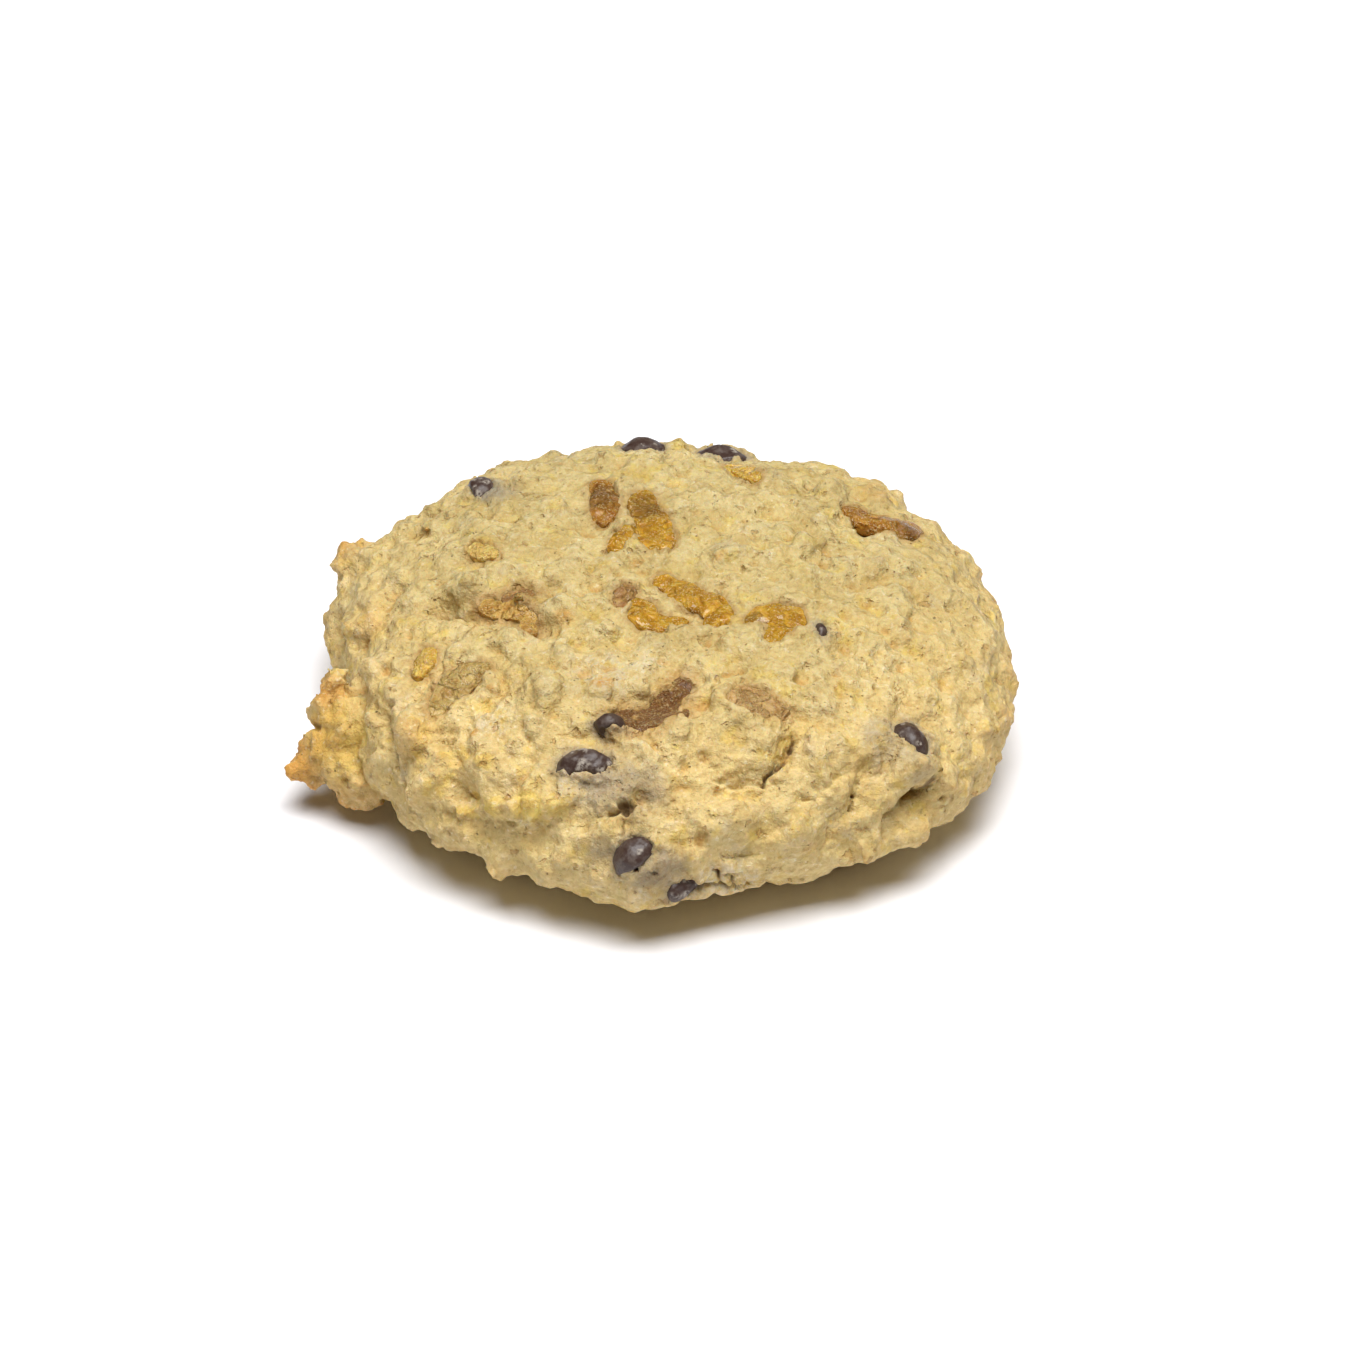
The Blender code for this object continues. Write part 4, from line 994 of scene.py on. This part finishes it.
def outside_beads(points, beads):
    """How far each point lies outside a row of beads, in millimetres; less than 0 inside."""
    gaps = np.full(len(points), np.inf)
    rows = np.array(beads, float)
    for first, second in zip(rows, rows[1:]):
        apart, part = apart_from(points, first[:3], second[:3])
        gaps = np.minimum(gaps, apart - first[3] - part * (second[3] - first[3]))
    return gaps


def crack_depths(points):
    """How deep each point lies in a crack and its soft fold, in millimetres."""
    depths = np.zeros(len(points))
    for half_width, depth, line in CRACKS:
        rows = np.array(line, float)
        near = close_to(points, rows * MM, 3 * MM)
        ragged = wandering(points[near], 1.6 * MM, 0.4 * MM)
        gaps = outside_beads(ragged, [(*row, 0) for row in line])
        ends = [np.linalg.norm(ragged / MM - row, axis=1) for row in (rows[0], rows[-1])]
        taper = 0.35 + 0.65 * rise(np.minimum(*ends), 0, 1.6)
        slit = np.clip(1 - gaps / (half_width * taper), 0, 1) ** 0.8 * depth * taper
        fold = np.exp(-((gaps / (half_width + 0.9)) ** 2)) * depth * 0.28
        depths[near] = np.maximum(depths[near], slit + fold)
    return depths


def round_spots(points, table, steepness):
    """The highest of the round spots in a table of (x, y, z, radius, height): a dome or pit."""
    heights = np.zeros(len(points))
    for x, y, z, radius, height in table:
        place = np.array((x, y, z))
        near = close_to(points, place[None] * MM, (radius + 1.5) * MM)
        ragged = wandering(points[near], 1.4 * MM, 0.45 * MM)
        apart, _ = apart_from(ragged, place, place)
        spot = np.clip(1 - (apart / radius) ** 2, 0, 1) ** steepness * height
        heights[near] = np.maximum(heights[near], spot)
    return heights


def piece_nodes():
    return [name for name in sorted(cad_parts) if name != "dough"]


def piece_over(node):
    """The finished piece that stands for a solid, or the solid itself before it is made."""
    made = node.replace("chocolate", "baked").replace("orange_peel", "candied_strip")
    return bpy.data.objects.get(made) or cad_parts[node]


def distances_to(node, points, reach):
    """(indices, distances) of the points within reach of a drop or strip."""
    piece = piece_over(node)
    corners = points_of(piece)
    low, high = corners.min(axis=0) - reach, corners.max(axis=0) + reach
    near = np.nonzero(((points > low) & (points < high)).all(axis=1))[0]
    tree = tree_of(piece)
    distances = np.array([tree.find_nearest(Vector(points[k]))[3] for k in near])
    keep = distances < reach if len(near) else np.zeros(0, bool)
    return near[keep], distances[keep] if len(near) else distances


def refine(body, wanted):
    """Halves the squares of the skin at the chosen points."""
    choose(body)
    bpy.ops.object.mode_set(mode="EDIT")
    bpy.ops.mesh.select_mode(type="VERT")
    bpy.ops.mesh.select_all(action="DESELECT")
    bpy.ops.object.mode_set(mode="OBJECT")
    body.data.vertices.foreach_set("select", wanted)
    bpy.ops.object.mode_set(mode="EDIT")
    bpy.ops.mesh.subdivide(number_cuts=1, smoothness=0)
    bpy.ops.object.mode_set(mode="OBJECT")


def lighten_base(body):
    """Fewer faces on the flat base, where nothing is fine."""
    choose(body)
    bpy.ops.object.mode_set(mode="EDIT")
    bpy.ops.mesh.select_mode(type="VERT")
    bpy.ops.mesh.select_all(action="DESELECT")
    bpy.ops.object.mode_set(mode="OBJECT")
    points = points_of(body)
    reach = np.hypot(points[:, 0], points[:, 1])
    flat = (points[:, 2] < 0.35 * MM) & (reach < 33 * MM)
    body.data.vertices.foreach_set("select", flat)
    bpy.ops.object.mode_set(mode="EDIT")
    bpy.ops.mesh.decimate(ratio=0.2)
    bpy.ops.object.mode_set(mode="OBJECT")


def thin_out(body, most):
    """Joins the least needed triangles until no more than a number are left."""
    body.data.calc_loop_triangles()
    modify(body, "DECIMATE", ratio=min(1.0, most / len(body.data.loop_triangles)))


def draw_down(body):
    """Draws the skin in just below every bare drop and strip, with a ragged edge."""
    points = points_of(body)
    out = outward(points)
    ragged = wobble(points, 1.9 * MM, 5) * 0.35 + wobble(points, 0.8 * MM, 6) * 0.25
    torn = wobble(points, 1.2 * MM, 7) * 0.8 + wobble(points, 0.6 * MM, 8) * 0.25
    sunk = np.zeros(len(points))
    for node in piece_nodes():
        near, distances = distances_to(node, points, 5 * MM)
        if node in STRIPS:
            gaps = outside_beads(points[near], STRIPS[node][2])
        elif node in BARE_DROPS:
            gaps = outside_beads(points[near], BARE_DROPS[node])
        else:
            gaps = distances / MM - 1.0
        edge = torn if node in BARE_DROPS else ragged
        furthest, below = DRAWN_IN * MM, BELOW_STRIP if node in STRIPS else BELOW_DROP
        if node == DEEP_DROP:
            edge, furthest = torn * 0.4, DRAWN_IN_DEEP * MM
        bare = rise(gaps + edge[near], 0.4, 0.0)
        tree = tree_of(piece_over(node))
        for k, share_of in zip(near[bare > 0.02], bare[bare > 0.02]):
            way = Vector(out[k])
            start = Vector(points[k]) + way * RAYS_FROM * MM
            hit, _, _, far = tree.ray_cast(start, -way, 10 * MM)
            if hit is not None:
                depth = far - (RAYS_FROM - below) * MM
                if node not in STRIPS:
                    depth = min(depth, furthest)
                sunk[k] = max(sunk[k], share_of * depth)
    set_points(body, points - out * sunk[:, None])
    edges = group(body, "edges", rise(sunk, 0, 0.3 * MM))
    modify(body, "SMOOTH", factor=0.5, iterations=3, vertex_group=edges)


def smoothed_points(body, rounds):
    """Where the skin's points would be if it were ironed smooth."""
    ironed = body.copy()
    ironed.data = body.data.copy()
    bpy.context.scene.collection.objects.link(ironed)
    modify(ironed, "SMOOTH", factor=0.5, iterations=rounds)
    points = points_of(ironed)
    bpy.data.objects.remove(ironed)
    return points


def paint_relief(piece, rounds, height):
    """Paints how far each point stands out of the ironed skin: 0.5 level, 0 deep, 1 high."""
    points, normals = points_of(piece), normals_of(piece)
    out = ((points - smoothed_points(piece, rounds)) * normals).sum(axis=1)
    paint(piece, "relief", 0.5 + out / (2 * height))


def paint_dough(body):
    points = points_of(body)
    paint_relief(body, 40, 0.55 * MM)
    ragged = wobble(points, 2.4 * MM, 2)
    rim = rise(np.hypot(points[:, 0], points[:, 1]), 40 * MM, 47 * MM) * 0.25
    base = rise(points[:, 2], 2.5 * MM, 0.2 * MM) * 0.55
    toast = np.maximum(spots(points, TOASTED, 1.25) * (1 + 0.35 * ragged), np.maximum(rim, base))
    grey = spots(points, GREYED, 1.2) * (1 + 0.3 * ragged)
    stain_and_shade = np.zeros(len(points))
    for node in piece_nodes():
        near, distances = distances_to(node, points, 4 * MM)
        if node.startswith("chocolate"):
            halo = np.clip(1 - distances / (2.6 * MM), 0, 1) ** 1.2 * 0.8
            grey[near] = np.maximum(grey[near], halo)
        else:
            sunken = STRIPS[node][1] < -0.1
            # Round each strip: its syrup stain, and painted shade along its edge.
            halo = np.clip(1 - distances / ((2.6 if sunken else 1.3) * MM), 0, 1) * 0.9
            stain_and_shade[near] = np.maximum(stain_and_shade[near], halo)
    # Painted light and shade: how much of the crown's darker tint each point takes, rising with
    # height.
    paint(body, "crown", rise(points[:, 2] / MM + 0.12 * points[:, 1] / MM, 17, 27))
    butter = spots(points, BUTTERY, 1.2) * (1 + 0.4 * ragged)
    floured = spots(points, FLOURED, 1.2) * (1 + 0.4 * ragged)
    paint(body, "floured", np.clip(floured, 0, 1))
    paint(body, "toast", np.clip(toast, 0, 1))
    paint(body, "butter", np.clip(butter, 0, 1))
    paint(body, "grey", np.clip(grey, 0, 1))
    paint(body, "stain_and_shade", np.clip(stain_and_shade, 0, 1))


def roughen(piece, name, size, height, weights, hard=False):
    """Raises lumps of a size; hard ones are round on top and meet in sharp creases."""
    texture = cloud_texture(name, size, 1 if hard else 2)
    texture.noise_type = "HARD_NOISE" if hard else "SOFT_NOISE"
    modify(piece, "DISPLACE", texture=texture, texture_coords="LOCAL", vertex_group=weights,
           strength=-height if hard else height, mid_level=0.35 if hard else 0.5)


def keep_on_table(piece):
    points = points_of(piece)
    points[:, 2] = np.maximum(points[:, 2], 0)
    set_points(piece, points)


def soften(piece):
    choose(piece)
    bpy.ops.object.shade_smooth()


class COOKIE_OT_dough(bpy.types.Operator):
    """Model the craggy skin of the dough over its solid"""

    bl_idname = "cookie.dough"
    bl_label = "Bake the dough"

    def execute(self, context):
        sizes = context.scene.cookie_dough
        body = body_copy(sizes)
        body = add_crumbs(body, sizes)
        even(body, sizes.grain)
        modify(body, "SMOOTH", factor=0.5, iterations=3)
        keep_on_table(body)
        lighten_base(body)
        points = points_of(body)
        fine = (crack_depths(points) > 0.1) | (round_spots(points, PORES, 1) > 0)
        for node in piece_nodes():
            near, _ = distances_to(node, points, 1.0 * MM)
            fine[near] = True
        refine(body, fine)
        points = points_of(body)
        above_base = rise(points[:, 2], 0.3 * MM, 1.5 * MM)
        sides = group(body, "sides", above_base)
        rough = group(body, "rough", above_base * np.array([craggy(point) for point in points]))
        swelling = group(body, "swelling", above_base * np.array([soft(point) for point in points]))
        out = outward(points)
        for depth, beads in HOLLOWS:
            gaps = outside_beads(points, [(*bead[:3], 0) for bead in beads])
            wide = sum(bead[3] for bead in beads) / len(beads)
            points -= out * (rise(gaps, wide, 0) * depth * MM)[:, None]
        points += out * round_spots(points, LUMPS, 0.8)[:, None] * MM
        set_points(body, points)
        roughen(body, "mounds", 6.5 * MM, sizes.mound_height, swelling)
        roughen(body, "clumps", 5.2 * MM, sizes.clump_height, rough, hard=True)
        roughen(body, "knobs", 2.3 * MM, sizes.knob_height, rough, hard=True)
        roughen(body, "swells", 3.4 * MM, sizes.swell_height, swelling)
        modify(body, "SMOOTH", factor=0.5, iterations=2)
        crumbly = group(body, "crumbly", above_base * np.array([loose(point) for point in points]))
        roughen(body, "crumble", 1.5 * MM, sizes.crumble_height, crumbly)
        roughen(body, "grit", 0.95 * MM, sizes.grit_height, sides)
        points = points_of(body)
        cracks = crack_depths(points)
        depths = np.maximum(cracks, round_spots(points, PORES, 0.6))
        set_points(body, points - outward(points) * depths[:, None] * MM)
        # Painted shade: how deep each point lies in a crack or a narrow pore, for the finish to
        # darken it.
        narrow = [row for row in PORES if row[3] < 1.3]
        deep = np.maximum(cracks, round_spots(points, narrow, 0.6))
        paint(body, "deep", np.clip(deep / 1.6, 0, 1))
        draw_down(body)
        keep_on_table(body)
        body.vertex_groups.clear()
        paint_dough(body)
        thin_out(body, sizes.most_faces)
        soften(body)
        body.data.materials.clear()
        body.data.materials.append(dough_finish(sizes))
        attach(body, "root")
        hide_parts("dough")
        return {"FINISHED"}


# Drops and peel


def paint_flour(piece, seed, amount):
    """Paints where flour and crumbs cling: ragged patches."""
    points = points_of(piece)
    ragged = wobble(points, 1.3 * MM, seed) + 0.5 * wobble(points, 0.6 * MM, seed + 1)
    paint(piece, "flour", rise(ragged, 0.55 - amount, 0.85 - amount))


def press(piece, skin, levels, kept):
    """Presses down what stands higher than a level in millimetres above the skin; a share of
    the height above the level is kept."""
    points = points_of(piece)
    for k, level in enumerate(levels):
        place, normal, _, _ = skin.find_nearest(Vector(points[k]))
        height = (Vector(points[k]) - place).dot(normal)
        if height > level * MM:
            points[k] -= np.array(normal) * (height - level * MM) * (1 - kept)
    set_points(piece, points)


def ironed_skin(sizes):
    body = body_copy(sizes)
    skin = tree_of(body)
    bpy.data.objects.remove(body)
    return skin


class COOKIE_OT_drops(bpy.types.Operator):
    """Model every chocolate drop over its solid"""

    bl_idname = "cookie.drops"
    bl_label = "Set the drops"

    def execute(self, context):
        sizes = context.scene.cookie_drops
        finish = chocolate_finish(sizes)
        skin = ironed_skin(context.scene.cookie_dough)
        dents = cloud_texture("melted dents", 1.9 * MM, 2)
        for index, node in enumerate(n for n in piece_nodes() if n.startswith("chocolate")):
            drop = copy_of(node, node.replace("chocolate_drop", "baked_drop"))
            modify(drop, "DISPLACE", strength=sizes.swell, mid_level=0)
            even(drop, sizes.grain)
            modify(drop, "SMOOTH", factor=0.5, iterations=6)
            levels = np.full(len(drop.data.vertices), -0.2)
            if node in BARE_DROPS:
                gaps = outside_beads(points_of(drop), BARE_DROPS[node])
                levels = 0.3 - 1.4 * rise(gaps, 0.1, 1.2)
            press(drop, skin, levels, 0.25)
            deeper = 2.2 if node in DENTED_DROPS else 1.0
            modify(drop, "DISPLACE", texture=dents, texture_coords="LOCAL",
                   strength=sizes.dents * deeper, mid_level=0.5)
            paint_flour(drop, index + 20, 0.42 if node in FLOURY_DROPS else 0.12)
            soften(drop)
            drop.data.materials.append(finish)
            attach(drop, "root")
            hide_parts(node)
        return {"FINISHED"}


def beaded_strip(name, skin, beads):
    """A thick strip that follows its beads along the skin."""
    balls = []
    for first, second in zip(beads, beads[1:]):
        start, end = Vector(first[:3]) * MM, Vector(second[:3]) * MM
        steps = max(1, math.ceil((end - start).length / (BALL_SPACING * MM)))
        for k in range(steps + 1):
            place, normal, _, _ = skin.find_nearest(start.lerp(end, k / steps))
            radius = (first[3] + (second[3] - first[3]) * k / steps + BALL_MARGIN) * MM
            bpy.ops.mesh.primitive_ico_sphere_add(subdivisions=3, radius=1)
            ball = bpy.context.active_object
            placed = frame_at(place - normal * STRIP_THICKNESS / 4 * MM, normal, 0.0)
            deep = STRIP_THICKNESS * 0.7 * MM
            ball.data.transform(placed @ Matrix.Diagonal((radius, radius, deep, 1)))
            balls.append(ball)
    return join(balls, name)


class COOKIE_OT_peel(bpy.types.Operator):
    """Model every strip of candied peel along its beads"""

    bl_idname = "cookie.peel"
    bl_label = "Set the peel"

    def execute(self, context):
        sizes = context.scene.cookie_peel
        skin = ironed_skin(context.scene.cookie_dough)
        finishes = {}
        folds = cloud_texture("folds", 2.2 * MM, 1)
        wrinkles = cloud_texture("wrinkles", 0.9 * MM, 1)
        for index, (node, (tint, stands, beads)) in enumerate(STRIPS.items()):
            if tint not in finishes:
                finishes[tint] = peel_finish(sizes, tint)
            name = node.replace("orange_peel", "candied_strip")
            strip = beaded_strip(name, skin, beads)
            even(strip, sizes.grain)
            press(strip, skin, np.full(len(strip.data.vertices), stands), 0.15)
            modify(strip, "SMOOTH", factor=0.5, iterations=4)
            modify(strip, "DISPLACE", texture=folds, texture_coords="LOCAL",
                   strength=sizes.wrinkles, mid_level=0.5)
            modify(strip, "DISPLACE", texture=wrinkles, texture_coords="LOCAL",
                   strength=sizes.wrinkles * 0.5, mid_level=0.5)
            paint_relief(strip, 12, 0.25 * MM)
            paint(strip, "dark", spots(points_of(strip), DARK_PEEL))
            paint_flour(strip, index + 40, -0.3 if tint in ("amber", "brown") else 0.05)
            soften(strip)
            strip.data.materials.append(finishes[tint])
            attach(strip, "root")
            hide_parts(node)
        return {"FINISHED"}


# Table, lights and camera


class COOKIE_OT_stage(bpy.types.Operator):
    """Set the white table, the soft light and the camera"""

    bl_idname = "cookie.stage"
    bl_label = "Set the stage"

    def execute(self, context):
        sizes = context.scene.cookie_stage
        deselect()
        bpy.ops.mesh.primitive_plane_add(size=4)
        table = context.active_object
        table.name = "table"
        finish = Finish("white table", 0.85, specular=0.1)
        finish.set("Base Color", sizes.table)
        table.data.materials.append(finish.material)

        world = bpy.data.worlds.new("even light")
        world.use_nodes = True
        background = world.node_tree.nodes["Background"]
        background.inputs["Color"].default_value = (*sizes.sky_colour, 1)
        background.inputs["Strength"].default_value = sizes.sky
        context.scene.world = world

        look_at = Vector(sizes.look_at)
        for name, place, side, power in (
            ("softbox", (0.03, -0.10, 0.76), 0.60, sizes.softbox),
            ("side fill", (0.5, -0.2, 0.5), 0.5, sizes.fill),
        ):
            light = bpy.data.lights.new(name, "AREA")
            light.shape = "RECTANGLE"
            light.size = side
            light.size_y = side * 0.8
            light.energy = power
            self.aim(context, light, Vector(place), look_at)

        camera = bpy.data.cameras.new("camera")
        camera.lens = sizes.lens
        camera.sensor_width = 36
        camera.clip_start = 0.05
        away = Vector((0, -math.cos(sizes.height), math.sin(sizes.height)))
        context.scene.camera = self.aim(context, camera, look_at + away * sizes.distance, look_at)
        context.scene.view_settings.view_transform = "Standard"
        context.scene.view_settings.look = "None"
        return {"FINISHED"}

    def aim(self, context, data, place, look_at):
        """An object for a light or camera at a place, facing look_at."""
        made = bpy.data.objects.new(data.name, data)
        context.scene.collection.objects.link(made)
        made.location = place
        made.rotation_euler = (place - look_at).to_track_quat("Z", "Y").to_euler()
        return made


class COOKIE_PT_panel(bpy.types.Panel):
    """Sizes and colours of the cookie, and the steps that make it"""

    bl_idname = "COOKIE_PT_panel"
    bl_label = "Drop Cookie"
    bl_space_type = "VIEW_3D"
    bl_region_type = "UI"
    bl_category = "Cookie"

    def draw(self, context):
        scene = context.scene
        for operator, settings in STEPS:
            box = self.layout.box()
            box.operator(operator.bl_idname)
            group_of = getattr(scene, settings)
            for name in group_of.__annotations__:
                box.prop(group_of, name)


STEPS = (
    (COOKIE_OT_drops, "cookie_drops"),
    (COOKIE_OT_peel, "cookie_peel"),
    (COOKIE_OT_dough, "cookie_dough"),
    (COOKIE_OT_stage, "cookie_stage"),
)
SETTINGS = {
    "cookie_dough": CookieDough,
    "cookie_drops": CookieDrops,
    "cookie_peel": CookiePeel,
    "cookie_stage": CookieStage,
}
CLASSES = (*SETTINGS.values(), *(operator for operator, _ in STEPS), COOKIE_PT_panel)


def register():
    for made in CLASSES:
        bpy.utils.register_class(made)
    for name, settings in SETTINGS.items():
        setattr(bpy.types.Scene, name, bpy.props.PointerProperty(type=settings))


def unregister():
    for name in SETTINGS:
        delattr(bpy.types.Scene, name)
    for made in reversed(CLASSES):
        bpy.utils.unregister_class(made)


def main():
    register()
    bpy.ops.cookie.drops()
    bpy.ops.cookie.peel()
    bpy.ops.cookie.dough()
    bpy.ops.cookie.stage()


if __name__ == "__main__":
    main()
